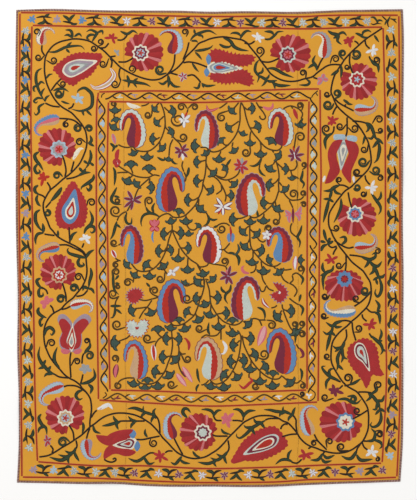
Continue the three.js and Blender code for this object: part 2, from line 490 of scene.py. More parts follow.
class Needlework:
    """A piece of needlework in the making: strips and patches in one skin, laid over the cloth."""

    def __init__(self, cloth_face):
        self.cloth_face = cloth_face
        self.points = []
        self.stitches = []
        self.faces = []
        self.threads = []

    def point(self, spot, raised, along, across):
        x = (spot[0] - CHART_MIDDLE_ACROSS) * SQUARE
        y = (CHART_MIDDLE_DOWN - spot[1]) * SQUARE
        self.points.append((x, y, self.cloth_face.height(x, y) + raised))
        self.stitches.append((along * SQUARE, across * SQUARE))
        return len(self.points) - 1

    def skin(self, rows, thread_at):
        """Faces between rows of points; thread_at gives a face's thread from its row and column."""
        for r, (row, following) in enumerate(zip(rows, rows[1:])):
            for c in range(len(row) - 1):
                self.faces.append((row[c], row[c + 1], following[c + 1], following[c]))
                self.threads.append(thread_at(r, c))

    def strip(self, spine, bands):
        """A strip along a spine. A band is a thread and its half width, a function of the share of the way
        along, and each band lies inside the one before it."""
        lengths = [0.0]
        for start, end in zip(spine, spine[1:]):
            lengths.append(lengths[-1] + (end - start).length)
        rows = []
        for i, spot in enumerate(spine):
            ahead = (spine[min(i + 1, len(spine) - 1)] - spine[max(i - 1, 0)]).normalized()
            side = Vector((-ahead.y, ahead.x))
            share = lengths[i] / lengths[-1]
            widths = [half(share) for _, half in bands]
            reaches = [widths[0], widths[0] * (1 - ROLLED_EDGE)]
            for width in widths[1:]:
                reaches.append(min(width, reaches[-1]))
            at_end = i in (0, len(spine) - 1)
            row = []
            for k, reach in enumerate(reaches + [0.0]):
                fullness = 1 - (reach / widths[0]) ** 2 if widths[0] > 0 else 0
                raised = -SUNK if k == 0 or at_end else THREAD_HEIGHT + CROWN_HEIGHT * fullness
                row.append((reach, raised))
            across = [(-reach, raised) for reach, raised in row[:-1]] + row[::-1]
            rows.append([self.point(spot + side * d, raised, lengths[i], d) for d, raised in across])
        threads = [bands[0][0]] * 2 + [thread for thread, _ in bands[1:]]
        columns = threads + threads[::-1]
        self.skin(rows, lambda r, c: columns[c])

    def patch(self, centre, reach, bands, sides):
        """A round patch. reach is its radius at an angle in degrees, and a band is a thread and the share of
        the radius that it starts at."""
        centre = Vector(centre)
        rolled = 0.9
        shares = [1.0, rolled] + [share for _, share in bands[1:]] + [0.0]
        threads = [bands[0][0]] * 2 + [thread for thread, _ in bands[1:]]
        rows = []
        for s, share in enumerate(shares):
            raised = -SUNK if s == 0 else THREAD_HEIGHT + CROWN_HEIGHT * (1 - share**2)
            row = []
            for k in range(sides + 1):
                degrees = 360 * k / sides
                spot = centre.lerp(centre + toward(degrees) * reach(degrees), share)
                out = share * reach(0)
                row.append(self.point(spot, raised, math.radians(degrees) * out, out))
            rows.append(row)
        self.skin(rows, lambda r, c: threads[r])

    def finish(self, name, finishes):
        """Makes the piece, with the spare points of closed ends joined and their empty faces left out."""
        used = sorted(set(self.threads))
        data = bpy.data.meshes.new(name)
        data.from_pydata(self.points, [], self.faces)
        data.polygons.foreach_set("material_index", [used.index(thread) for thread in self.threads])
        mesh = bmesh.new()
        mesh.from_mesh(data)
        layer = mesh.loops.layers.uv.new("Stitches")
        for face in mesh.faces:
            for loop in face.loops:
                loop[layer].uv = self.stitches[loop.vert.index]
        near = SQUARE / 1000
        bmesh.ops.remove_doubles(mesh, verts=mesh.verts, dist=near)
        bmesh.ops.dissolve_degenerate(mesh, edges=mesh.edges, dist=near)
        upside_down = [face for face in mesh.faces if face.normal.z < 0]
        bmesh.ops.reverse_faces(mesh, faces=upside_down)
        flat_map(mesh)
        return add_piece(name, mesh, [finishes[thread] for thread in used])


# The chart of the field, in squares from the left and from the top

FIELD_STEMS = [
    # The upper left of the field.
    [(160, 102), (162, 106), (164, 112), (165, 119), (165, 126), (163, 134), (160, 141), (156, 146),
     (150, 150.5), (143, 151.5), (136, 150), (133, 147), (127, 147.5), (122, 146.5), (118, 144.5)],
    [(164, 107), (167, 110), (170, 112)],
    [(164, 116), (161, 119), (158, 121)],
    [(160, 102), (157, 105), (156, 107)],
    [(152, 110), (152, 114)],
    [(165, 124), (166, 128), (169, 131)],
    [(172, 136), (176, 140), (180, 144), (182, 149)],
    [(173, 139), (170, 146), (169, 156)],
    [(160, 137), (157, 139), (154, 139)],
    [(160, 142), (160, 147)],
    [(148, 151), (147, 155)],
    [(131, 148), (132, 151)],
    [(117, 165), (123, 169), (128, 172), (133, 175), (139, 177), (148, 177.5), (154, 175), (160, 176)],
    [(128, 172.5), (121, 172.5), (117, 173)],
    [(150, 178), (149, 184)],
    [(150, 178), (144, 183), (139, 188), (136, 194), (134, 200), (130, 206), (127, 211.5)],
    [(133, 175), (130, 178)],
    [(133, 174), (131, 168)],
    [(153, 175), (150, 173), (149, 170)],
    [(114, 106), (115, 109)],
    [(115, 113), (114, 116), (116, 119)],
    [(118, 121), (115, 125)],
    [(183, 161), (182, 166), (184, 172)],
    [(184, 172), (186, 177), (185, 182)],
    [(188, 109), (187, 113)],
    [(141, 106), (146, 105), (150, 102)],
    # The upper middle.
    [(228, 102), (223, 106), (219, 108.5)],
    [(239, 102), (236, 106), (233, 109)],
    [(241, 102), (240, 110), (240, 120), (238, 130), (234, 138), (228, 145), (220, 150.5), (213, 152),
     (209, 150), (206, 147.5), (200, 147.5)],
    [(239, 121), (235, 124), (231, 126.5)],
    [(241, 102), (244, 108), (246, 117), (249, 126), (253, 133), (258, 139), (264, 146), (270, 149.5),
     (277, 150.5), (281, 148), (282, 145)],
    [(244, 107), (247, 109.5), (251, 110)],
    [(250, 128), (253, 128), (256, 128)],
    [(251, 131), (250, 136), (250, 140)],
    [(250, 145), (250, 150)],
    [(260, 141), (261, 147), (260, 153)],
    [(262, 156), (260, 163), (259, 170)],
    [(233, 142), (232, 147)],
    [(229, 145), (225, 145), (222, 142)],
    [(221, 151), (219, 156)],
    [(208, 149), (207, 153), (206, 161), (206, 166), (205, 175), (203, 183), (202, 190), (199, 197),
     (196, 204), (190, 211), (184, 216), (178, 217.5), (173, 217), (169, 214), (165, 214), (160, 216.5),
     (157, 220)],
    [(206, 160), (203, 161), (199, 161.5)],
    [(206, 163), (208, 168), (212, 172)],
    [(204, 180), (199, 180.5)],
    [(203, 184), (206, 189), (209, 192)],
    [(215, 174), (219, 178), (226, 180), (233, 178), (238, 174), (240, 169)],
    [(215, 175), (220, 177), (224, 177.5), (226.5, 174), (226, 169)],
    [(213, 176), (218, 180), (222, 186), (225, 192)],
    [(228, 180), (231, 183)],
    # The upper right.
    [(256, 102), (259, 107), (263, 112), (265.5, 117), (263.5, 119.5), (260.5, 118.5), (259.5, 115.5)],
    [(259, 106.5), (263, 108)],
    [(283, 109), (287, 106.8), (291, 106), (296, 107.5), (300, 110), (302.5, 114), (301, 119)],
    [(291, 106), (293, 109)],
    [(272, 150), (274, 153)],
    [(276, 158), (275, 161), (273, 165)],
    [(275, 161), (279, 165), (283, 168.5)],
    [(276, 161), (278, 168), (279, 176), (278.5, 184), (279, 192)],
    [(279, 178), (276, 182), (272, 184.5)],
    [(279, 182), (282, 186)],
    [(287, 170), (290.5, 170.5), (292, 175), (296, 177), (299, 179)],
    [(296, 160), (297, 165), (294.5, 169.5), (290.5, 170.5)],
    [(294, 149), (295, 142), (296, 136)],
    # The left of the middle.
    [(127, 211.5), (123, 213), (119, 216.5), (117, 221)],
    [(118, 245.5), (122, 243)],
    [(115, 258), (118, 260), (121, 261)],
    [(199, 197), (194, 200), (189, 200)],
    [(179, 217), (179, 213)],
    [(172, 217), (171.5, 220)],
    [(172, 224), (172, 230), (169, 239), (167, 247), (164, 255), (160, 262), (153, 269), (145, 271.5),
     (138, 270.5), (134, 267), (131, 263)],
    [(186, 215), (186, 219)],
    [(186, 223), (189, 228.5), (194, 230), (198, 227)],
    [(172, 230), (168, 233), (165, 234)],
    [(172, 230), (176, 232), (179, 233)],
    [(172, 230), (176, 239), (180, 247), (185, 254), (191, 260), (197, 264), (201, 269)],
    [(190, 230), (188.5, 232)],
    [(167, 247), (164, 251), (160, 251)],
    [(167, 248), (169, 249.5)],
    [(180, 248), (186, 248)],
    [(179, 248), (178.5, 257)],
    [(188, 257), (187.5, 267)],
    [(160, 262), (162, 266), (165, 271), (168, 275)],
    [(165, 272), (164.5, 277)],
    [(153, 268.5), (148, 267)],
    [(150, 271), (149.5, 275)],
    [(138, 270.5), (136, 274)],
    [(134, 277), (133, 283)],
    # The middle of the middle.
    [(222, 186), (224, 190), (226, 196), (225, 202)],
    [(226, 195.5), (229, 195)],
    [(221, 185), (221.5, 190), (216, 194.5)],
    [(199, 199), (198.5, 203), (199, 207)],
    [(203, 210), (207, 214), (208.5, 219)],
    [(201, 269), (199, 267), (203, 266.8), (207, 265.5), (209, 263), (213, 264), (220, 265), (225.5, 266.5),
     (227, 270)],
    [(197, 264), (199, 268), (201, 271.5)],
    [(203, 276), (204, 280), (204, 284)],
    [(218, 249), (224, 249.5), (230, 243)],
    [(230, 226), (226, 223.5), (221, 223.7), (216, 226.5)],
    [(224, 250), (228, 253), (234, 254)],
    [(235, 218.5), (241, 218.3), (249, 215)],
    [(249, 214), (251, 217), (256, 217.5), (262, 214), (268, 209), (273, 204), (276, 199), (278, 193),
     (279, 190)],
    [(250, 217), (250, 220)],
    [(250, 224), (249.7, 231), (250, 240), (251, 247), (254, 252), (259, 258), (264, 263), (270, 266),
     (276, 266), (281, 263)],
    [(250, 225.5), (247, 227.5), (245, 229.5)],
    [(250, 229), (253, 232), (256, 233)],
    [(257, 236), (259, 240), (263, 242), (266, 240)],
    [(250, 238), (248, 243)],
    [(252, 250.5), (259, 250.5)],
    [(253, 251), (253, 258)],
    [(255, 262), (256, 267), (254, 271.5), (250, 273)],
    # The right of the middle.
    [(275, 201), (276, 206)],
    [(278.5, 211), (280, 217), (278.5, 221)],
    [(276, 200), (272, 203.5), (267, 203)],
    [(264, 213.5), (263.5, 219)],
    [(283, 192), (287, 197), (291, 200), (297, 200), (301, 199), (304, 196)],
    [(289, 200), (291, 204), (293, 208)],
    [(292, 223), (290.5, 227), (291, 232), (295, 236), (297, 237)],
    [(261, 261), (262, 268)],
    [(261.5, 274), (263, 280), (266, 285)],
    [(273, 266), (276, 269)],
    [(280, 268.5), (285, 270), (292, 269)],
    [(281, 275), (284, 280), (289, 283.5)],
    # The left of the lower rows.
    [(119, 296), (116, 301), (115, 306)],
    [(138, 299), (145, 300.5), (152, 299), (159, 297)],
    [(159, 297), (153, 294.5), (150, 291), (150, 287)],
    [(152, 300), (148, 306), (143, 312), (139, 319)],
    [(147, 307), (141, 308), (135, 308.5)],
    [(148, 307), (149.5, 311)],
    [(130, 335), (127, 338), (122, 340), (117, 342)],
    [(170, 321), (173, 325), (178, 325.5), (184, 323.5), (189, 320), (194, 315.5), (197, 309), (199, 303),
     (200, 297)],
    [(195, 315.5), (191, 314.5), (188, 313)],
    [(180, 324.5), (179.5, 321)],
    [(171.5, 323), (171, 326)],
    [(185, 323.5), (185, 327)],
    [(157, 331), (159, 335), (162, 337), (165, 337.5)],
    [(171.5, 330), (172, 337), (172.5, 345), (171, 355), (168, 363), (165, 371), (162, 374)],
    [(172, 337.5), (168, 338)],
    [(172, 337.5), (176, 339)],
    [(162, 337), (159, 339), (156, 343), (155, 347)],
    [(178, 343), (179, 350), (178, 358), (179, 366), (182, 373), (186, 377)],
    [(179, 351), (182, 354), (186, 353.5)],
    [(171, 356), (167, 356.5), (164, 357)],
    [(171, 357), (174, 358.5)],
    [(184, 285), (187, 286), (192, 284), (195, 283)],
    [(137, 379), (139, 382), (144, 384), (150, 384), (156, 382), (161, 377), (166, 370)],
    [(135, 378), (127, 378), (121, 380), (117, 384)],
    [(163, 373), (159, 374), (156, 373)],
    [(166, 371), (168, 373)],
    [(158, 382), (158, 385)],
    # The middle of the lower rows.
    [(204, 279), (200, 281)],
    [(205, 279), (209, 280)],
    [(204.5, 279), (204, 287), (202, 295), (200, 300)],
    [(206, 280), (209, 289), (210, 297), (211, 304), (214, 310), (218, 316), (223, 321), (229, 324),
     (235, 325), (240, 323), (243, 320)],
    [(202, 296), (199, 297)],
    [(201, 301), (204, 303)],
    [(210, 296), (216, 298)],
    [(211, 304), (210.5, 311)],
    [(217, 314), (224, 313)],
    [(195.5, 313), (197, 318)],
    [(218, 317), (219, 325)],
    [(221, 330), (221, 340)],
    [(221, 330), (217, 335), (211, 336), (206, 335), (201, 338)],
    [(232, 325), (232.5, 322)],
    [(229, 325), (232, 331)],
    [(243, 321), (247, 324)],
    [(237, 330), (240, 334), (241, 340), (239, 355), (236, 364), (232, 372), (227, 379), (221, 383),
     (215, 384), (211, 381), (209, 378)],
    [(242, 335), (244, 345), (249, 356), (253, 363), (259, 370), (266, 376), (273, 379), (279, 378.5),
     (282, 375)],
    [(242, 337), (248, 338)],
    [(240, 340), (237, 343), (234, 344)],
    [(236, 362), (231, 363)],
    [(239, 357), (243, 359)],
    [(249, 355), (254, 355)],
    [(251, 360), (251, 368)],
    [(249, 373), (249, 378)],
    [(233, 371), (237, 376)],
    [(230, 376), (225, 377)],
    [(212, 381), (211, 384)],
    [(222, 383), (223, 385)],
    [(209, 380), (205, 384), (201, 385)],
    # The right of the lower rows.
    [(250, 320), (254, 318.5), (259, 320), (262, 326)],
    [(259, 320), (266, 320)],
    [(271, 308), (275, 307), (277, 305)],
    [(266, 285), (269, 289), (274, 291)],
    [(282, 304), (283, 309), (288, 311)],
    [(282, 310), (279, 315)],
    [(283, 310), (286, 318), (290, 327), (294, 332)],
    [(289, 298), (294, 302), (299, 305)],
    [(289, 283), (294, 286), (297, 291), (294, 297)],
    [(292, 275), (293, 280), (290, 283)],
    [(292, 275), (296, 273), (300, 275)],
    [(266, 286), (264, 291), (261, 291), (259, 286)],
    [(296, 344), (299, 349)],
    [(259, 370), (263, 368)],
    [(260, 371), (260, 379)],
    [(272, 379), (272.5, 384)],
    [(273, 378.5), (273, 375)],
    [(282, 376), (288, 381)],
    [(293, 382), (297, 383), (301, 380)],
]

# Ivy leaves: the middle, the way that the tip points in degrees, and the size.
FIELD_LEAVES = [
    # The upper left of the field.
    (155, 109, 225, 8), (172.5, 111.5, 10, 10), (157, 122.5, 215, 8.5), (171, 132, 20, 9),
    (153, 139, 180, 9.5), (162, 148, 315, 9), (147, 157, 270, 10), (133.5, 153, 290, 8.5),
    (128, 181, 250, 10.5), (131, 164.5, 90, 10.5), (149, 168.5, 90, 10.5), (137, 184, 215, 9),
    (151, 187.5, 0, 10), (115, 110, 270, 9.5), (116, 120, 100, 8), (114, 127, 240, 9.5),
    (168.5, 159, 260, 7),
    # The upper middle.
    (232, 110.5, 225, 9), (252, 108.5, 0, 9), (229, 128, 215, 9), (257.5, 126.5, 20, 10),
    (243, 133.5, 250, 7.5), (221, 141, 135, 8.5), (234, 150.5, 300, 8.5), (250, 143, 270, 9),
    (206, 153, 300, 8.5), (219, 159, 270, 10), (195, 146, 180, 11), (197, 162, 180, 9.5),
    (213, 173, 315, 9.5), (225, 168.5, 30, 8.5), (197, 181, 180, 10), (234, 184, 315, 9),
    (210.5, 190.5, 330, 9), (260.5, 154, 270, 10),
    # The upper right.
    (271, 141, 60, 10), (278, 156, 330, 9.5), (270, 168.5, 240, 10), (285.5, 169, 0, 9), (292, 178, 270, 7),
    (300.5, 124.5, 270, 9), (269.5, 185, 170, 10), (285, 189, 310, 9),
    # The left of the middle.
    (188, 200, 180, 10), (179, 211.5, 75, 9), (171, 221, 280, 9), (186, 221, 270, 10), (198.5, 226, 45, 7),
    (164, 234, 180, 10), (180.5, 233, 0, 10), (188.5, 233.5, 270, 8), (159, 251, 180, 10),
    (170.5, 250, 10, 9), (188, 248, 0, 9.5), (178, 258.5, 270, 10), (187.5, 269.5, 270, 10.5),
    (163, 266, 300, 10), (146.5, 265, 150, 10), (127, 264.5, 215, 9), (135, 275, 240, 9),
    (149.5, 276, 270, 10),
    # The middle of the middle.
    (231, 195.5, 0, 9), (200.5, 208.5, 230, 10.5), (203, 273.5, 280, 10), (233, 219.5, 180, 10.5),
    (250, 221.5, 265, 9.5), (243, 231.5, 220, 9.5), (256.5, 234, 320, 9.5), (245, 246.5, 235, 10),
    (261, 250.5, 345, 10), (252, 262, 265, 10), (212.5, 279, 315, 9),
    # The right of the middle.
    (277.5, 208.5, 240, 10), (264, 203, 185, 10), (263.5, 220.5, 270, 10), (269.5, 260, 200, 9),
    (263.5, 271, 270, 10.5), (279, 272, 300, 9.5), (301, 260, 180, 8.5),
    # The left of the lower rows.
    (132, 310.5, 195, 10), (151, 312.5, 290, 10), (115, 343, 185, 12), (187, 312, 155, 9.5),
    (179, 320, 90, 8.5), (170.5, 327.5, 260, 9.5), (185, 328.5, 290, 10), (158, 329.5, 90, 10.5),
    (166.5, 338.5, 180, 10.5), (178.5, 339, 0, 10), (163, 357, 180, 10.5), (175.5, 359, 320, 11),
    (185, 282.5, 250, 7), (133.5, 383.5, 260, 10), (147.5, 380.5, 90, 9), (145, 387.5, 270, 9.5),
    (158, 386, 275, 10.5), (155.5, 371.5, 170, 10.5), (169, 375, 300, 10.5),
    # The middle of the lower rows.
    (198, 282, 220, 10.5), (196.5, 298.5, 180, 10), (205, 304, 290, 10), (217.5, 297.5, 0, 10.5),
    (209.5, 314.5, 255, 10), (226, 313, 0, 10), (198.5, 319.5, 295, 10), (218.5, 326.5, 270, 10.5),
    (232.5, 320.5, 90, 9), (232.5, 333, 270, 10.5), (248, 324, 320, 10), (250.5, 338.5, 0, 10.5),
    (233.5, 345, 180, 10.5), (231, 361.5, 180, 11), (243.5, 360.5, 0, 11), (254.5, 354.5, 20, 10.5),
    (250, 369, 270, 10.5), (237, 377, 300, 10), (224, 375, 150, 10.5), (210.5, 386, 260, 10),
    (224, 387, 280, 11),
    # The right of the lower rows.
    (291, 311, 0, 10.5), (277.5, 316.5, 215, 11), (265, 367, 20, 10.5), (260, 381, 270, 10.5),
    (272.5, 385.5, 275, 11), (273, 373.5, 90, 9), (290, 382.5, 310, 11), (295.5, 332, 300, 10.5),
]

# Curls: where they leave their stem, their middle, their radius, and 1 where they wind anticlockwise or -1.
FIELD_CURLS = [
    # The upper left of the field.
    (152, 113, 148, 115, 3.4, -1), (187.5, 109, 181.5, 107, 3.8, 1), (187.5, 109, 194.5, 107, 3.4, -1),
    (176, 139.5, 183, 137.5, 4.2, 1), (115, 107, 113.5, 104, 2.6, 1), (172.5, 117, 178, 120, 7, 1),
    # The upper middle.
    (229, 110.5, 221.5, 117.5, 4.2, 1), (250.5, 148, 246, 152.5, 4.2, -1),
    # The upper right.
    (301.5, 111, 300, 105.5, 3, 1), (296, 138, 300.3, 137, 5, -1), (302, 170, 304, 165, 2.7, 1),
    # The left of the middle.
    (114, 202, 117, 201, 3, 1), (120, 216, 115.5, 211, 5.4, -1), (118, 245.5, 114, 243, 3.4, -1),
    (120, 260.5, 115.8, 264.8, 2.8, 1), (113, 279, 116, 272, 3.6, -1), (145.5, 207, 149, 201, 4, -1),
    (165, 275, 160.3, 279, 3.8, -1), (133, 281, 128, 282.5, 3.8, 1),
    # The middle of the middle.
    (217.5, 226, 221.5, 229, 4.2, 1), (226, 266, 224.8, 261.5, 3.6, 1),
    # The right of the middle.
    (264.5, 231, 268.3, 228.3, 3.2, -1), (279, 220, 276, 221.5, 3.4, -1), (297, 199.5, 293.5, 194, 4.2, 1),
    (304, 196, 303, 193.5, 3, 1), (300, 203.5, 303.6, 204.4, 2.6, -1), (302, 275, 301, 269, 3.2, 1),
    # The left of the lower rows.
    (118, 285, 118, 286.6, 2.4, 1), (119.5, 296, 113, 294, 4.6, -1), (151, 291, 154.5, 290.5, 3.8, -1),
    (126, 327, 117, 324.8, 4.8, -1), (156, 341, 147.5, 338.5, 4.3, -1), (180.5, 353, 187.5, 359, 3.6, 1),
    (194, 299.5, 187, 298.8, 4.4, -1), (117, 363, 115.2, 358.5, 3.4, 1), (117.5, 383, 118.3, 385.6, 3.6, 1),
    (178, 385, 171.5, 384.5, 4, -1),
    # The middle of the lower rows.
    (207, 329, 199.5, 328.5, 3.8, -1), (257, 357, 264, 354.5, 5, 1),
    # The right of the lower rows.
    (266, 320, 271.5, 325, 4.2, -1), (295, 330, 294.8, 324.5, 3, 1), (301, 329, 301.8, 323.8, 2.8, 1),
    (300, 330, 302, 334, 3.2, -1), (259, 384, 255.5, 386.3, 3.6, -1), (301, 381, 302.6, 385.6, 2.8, -1),
]

# Paisleys: the foot, the height, the width, 1 where the tip curls to the left or -1 to the right, and the
# threads from the outer edge inwards.
PAISLEYS = [
    (134, 148, 38, 23, 1, ("silver", "scarlet", "wine")),
    (208, 149, 38, 21, 1, ("wine", "scarlet", "silver")),
    (282, 146, 37, 22, 1, ("silver", "scarlet", "wine")),
    (169, 212, 44, 25, -1, ("blue", "scarlet", "wine")),
    (249, 216, 42, 26, -1, ("wine", "scarlet", "silver")),
    (133, 264, 38, 20, 1, ("wine", "scarlet", "blue")),
    (210, 264, 37, 22, 1, ("white", "scarlet", "wine")),
    (281, 262.5, 35, 23, 1, ("wine", "scarlet", "blue")),
    (170, 323, 43, 25, -1, ("blue", "scarlet", "wine")),
    (244, 320, 43, 25, -1, ("wine", "scarlet", "silver")),
    (137, 379, 38, 21, 1, ("blue", "scarlet", "sand")),
    (210, 380, 42, 24, 1, ("sand", "scarlet", "silver")),
    (283, 374, 45, 26, 1, ("blue", "scarlet", "wine")),
]


# The lines that part a paisley's threads, from its outer edge to its inner one: each runs from the foot over
# the top to the tip, in shares of the paisley's height, with the tip on the left.
PAISLEY_LINES = [
    [(0.05, 0), (0.22, 0.07), (0.31, 0.27), (0.3, 0.5), (0.22, 0.74), (0.08, 0.93), (-0.08, 1.0),
     (-0.24, 0.95), (-0.35, 0.82), (-0.39, 0.66), (-0.39, 0.53), (-0.34, 0.45)],
    [(0.04, 0), (0.13, 0.07), (0.19, 0.27), (0.19, 0.5), (0.13, 0.71), (0.03, 0.86), (-0.09, 0.92),
     (-0.19, 0.89), (-0.28, 0.79), (-0.33, 0.66), (-0.35, 0.53), (-0.34, 0.45)],
    [(0.01, 0), (0.02, 0.1), (0.02, 0.3), (0.04, 0.5), (0.02, 0.68), (-0.03, 0.8), (-0.1, 0.85),
     (-0.17, 0.83), (-0.24, 0.76), (-0.29, 0.65), (-0.31, 0.53), (-0.34, 0.45)],
    [(-0.02, 0), (-0.18, 0.07), (-0.24, 0.23), (-0.18, 0.42), (-0.11, 0.6), (-0.09, 0.72), (-0.12, 0.78),
     (-0.17, 0.78), (-0.22, 0.71), (-0.25, 0.62), (-0.28, 0.5), (-0.34, 0.45)],
]
PAISLEY_WIDTH = 0.65  # of that form, as a share of its height
PAISLEY_SCALLOPS = 15
PLACES_TO_A_SCALLOP = 4
SCALLOP_DEPTH = 1.0
BAND_DEPTH = 0.7  # of the scallops between its inner bands
PAISLEY_RIM = 0.7  # width of the thin rim outside it

# The same lines for a pod, whose tip is open.
POD_LINES = [
    [(0.04, 0), (0.2, 0.05), (0.31, 0.24), (0.32, 0.5), (0.27, 0.75), (0.14, 0.93), (-0.04, 1.0),
     (-0.2, 0.98), (-0.31, 0.91), (-0.36, 0.8)],
    [(0.02, 0), (0.1, 0.07), (0.17, 0.26), (0.18, 0.5), (0.17, 0.72), (0.09, 0.87), (-0.04, 0.95),
     (-0.18, 0.95), (-0.29, 0.89), (-0.36, 0.8)],
    [(0.0, 0), (-0.02, 0.1), (-0.01, 0.28), (0.04, 0.5), (0.09, 0.7), (0.05, 0.83), (-0.05, 0.92),
     (-0.18, 0.93), (-0.28, 0.88), (-0.36, 0.8)],
    [(-0.02, 0), (-0.15, 0.07), (-0.18, 0.24), (-0.09, 0.45), (0.02, 0.64), (0.02, 0.79), (-0.06, 0.88),
     (-0.17, 0.91), (-0.27, 0.87), (-0.36, 0.8)],
]

# Half the outline of an ivy leaf's body, from its front round to its stem: angles and shares of its size.
IVY_OUTLINE = [(0, 0.46), (18, 0.41), (36, 0.47), (56, 0.46), (80, 0.44), (116, 0.36), (150, 0.34),
 (180, 0.52)]
IVY_STATION = 12  # degrees between its stations
IVY_SIDES = 36
IVY_RIM = 0.74  # share of the outline where the fill meets the rim
# The line of one of its two hooked arms, forwards and sideways, in shares of its size.
IVY_ARM = [(0.02, 0.05), (0.06, 0.34), (-0.02, 0.54), (-0.2, 0.66)]
IVY_ARM_WIDTH = 0.36
ARM_WIDEST = 0.4  # share of its length at which an arm of any leaf is widest

# The form of a curl: its turns, how far it has drawn in at its middle, and how it swells and ends.
CURL_TURNS = 1.45
CURL_STEPS = 14
CURL_DRAWN_IN = 0.72
CURL_ROOT_REACH = 1.2  # times its radius, from where its root has a stem of its own
CURL_RIM = 0.5  # share of the width of a thick curl that its rim takes up
CURL_FORM = {"widest": 0.4, "base": 0.3, "tip": 0.4}

# How the edge of a closed shape is sewn down, and the places that each of its scallops or points has.
ROLL_WIDTH = 0.6
MOST_ROLLED = 0.4
PLACES_TO_A_POINT = 5


# The chart of the borders, in the same squares

LINE_RIM = 2.7  # the width with the amber thread on either side of the red
RED_LINES = [
    # The outermost line: top, right, bottom and left.
    [(20, 12.7), (67, 13.4), (120, 14.9), (210, 16.7), (265, 16.2), (300, 16.9), (335, 15.4),
     (398.7, 15.3)],
    [(398.7, 15.3), (399.2, 60), (399.8, 150), (399.8, 300), (399.8, 390), (398.5, 440), (396.8, 477.2)],
    [(396.8, 477.2), (350, 479), (310, 479.5), (274, 481.8), (207, 482.5), (154, 481), (94, 478),
     (22, 477)],
    [(22, 477), (20.8, 320), (19.2, 190), (20, 12.7)],
    # The line inside it.
    [(32, 25.5), (115, 27.2), (210, 28), (265, 28.2), (300, 29), (325, 28.6), (350, 27.6), (383, 27.2)],
    [(383, 27.2), (384.5, 90), (385, 125), (385.8, 320), (386.3, 380), (384, 430), (382, 463)],
    [(382, 463), (323, 465), (274, 467), (208, 468.5), (147, 465.8), (94, 465.4), (37.5, 461.7)],
    [(37.5, 461.7), (35, 390), (33, 255), (31, 120), (32, 25.5)],
    # The outer line of the guard border.
    [(98.4, 92), (150, 91), (207, 91.8), (260, 90.4), (295, 89.2), (320, 89)],
    [(320, 89), (320.3, 130), (321, 180), (319.5, 230), (318.8, 320), (318, 402)],
    [(318, 402), (260, 404.5), (207, 406), (150, 403), (98.5, 400)],
    [(98.5, 400), (97.4, 320), (96.5, 250), (96.5, 120), (98.4, 92)],
    # The inner line of the guard border.
    [(108.4, 101.6), (150, 102.3), (207, 102.4), (260, 100.8), (309, 100.5)],
    [(309, 100.5), (308, 150), (307.3, 200), (307, 300), (307, 390)],
    [(307, 390), (260, 391.6), (207, 393), (160, 391.2), (110, 390)],
    [(110, 390), (109, 340), (107.8, 250), (107, 190), (108.4, 101.6)],
]

GUARD_SWING = 3.3
WAVE_STEPS = 12  # places from a crest to the next
# The two strokes of a sprig in a bay of the wave, and the offshoot there: places along and to the side.
GUARD_SPRIG = [[(-4, 1.4), (4, 1.4)], [(-1.5, 1.4), (1.5, -1.8)]]
OFFSHOOT = [(0, 0), (2.5, 2), (5.5, 3)]

# The waves between the guard lines: the route, the number of half waves, the wave's thread, the width of the
# sprigs in its bays, and the threads of those after even and after odd crests, in turn.
GUARD_WAVES = [
    ([(105, 95.8), (208, 96.8), (311.5, 95)], 14, "black", 1.5, (("wine", "lilac"), ("silver", "lilac"))),
    ([(101.5, 98), (102.5, 240), (104.5, 392)], 23, "black", 3.6,
     (("grey", "pale blue"), ("lilac", "grey"))),
    ([(313.6, 98), (313.4, 245)], 13, "black", 3.6, (("grey", "silver"), ("silver", "grey"))),
    ([(313.4, 245), (312.2, 320), (311.5, 393)], 12, "black", 1.8,
     (("wine", "lilac"), ("white", "silver"))),
    ([(103, 396.5), (205, 398.8), (308, 397)], 14, "olive", 1.7, (("white", "silver"), ("wine", "lilac"))),
]
# The wave's links at its corners and where its run changes.
GUARD_CORNERS = [
    [(104.5, 392), (106.6, 395), (102.5, 398.5)],
    [(316.4, 243), (316, 246), (313.4, 249)],
    [(311.5, 98), (313, 95), (318, 90.5)],
    [(315.5, 92.5), (318, 96)],
    [(101.5, 98), (102, 95), (105, 93)],
    [(309, 388), (311.5, 390), (315, 393), (314, 398), (309, 401), (304, 399.5)],
]

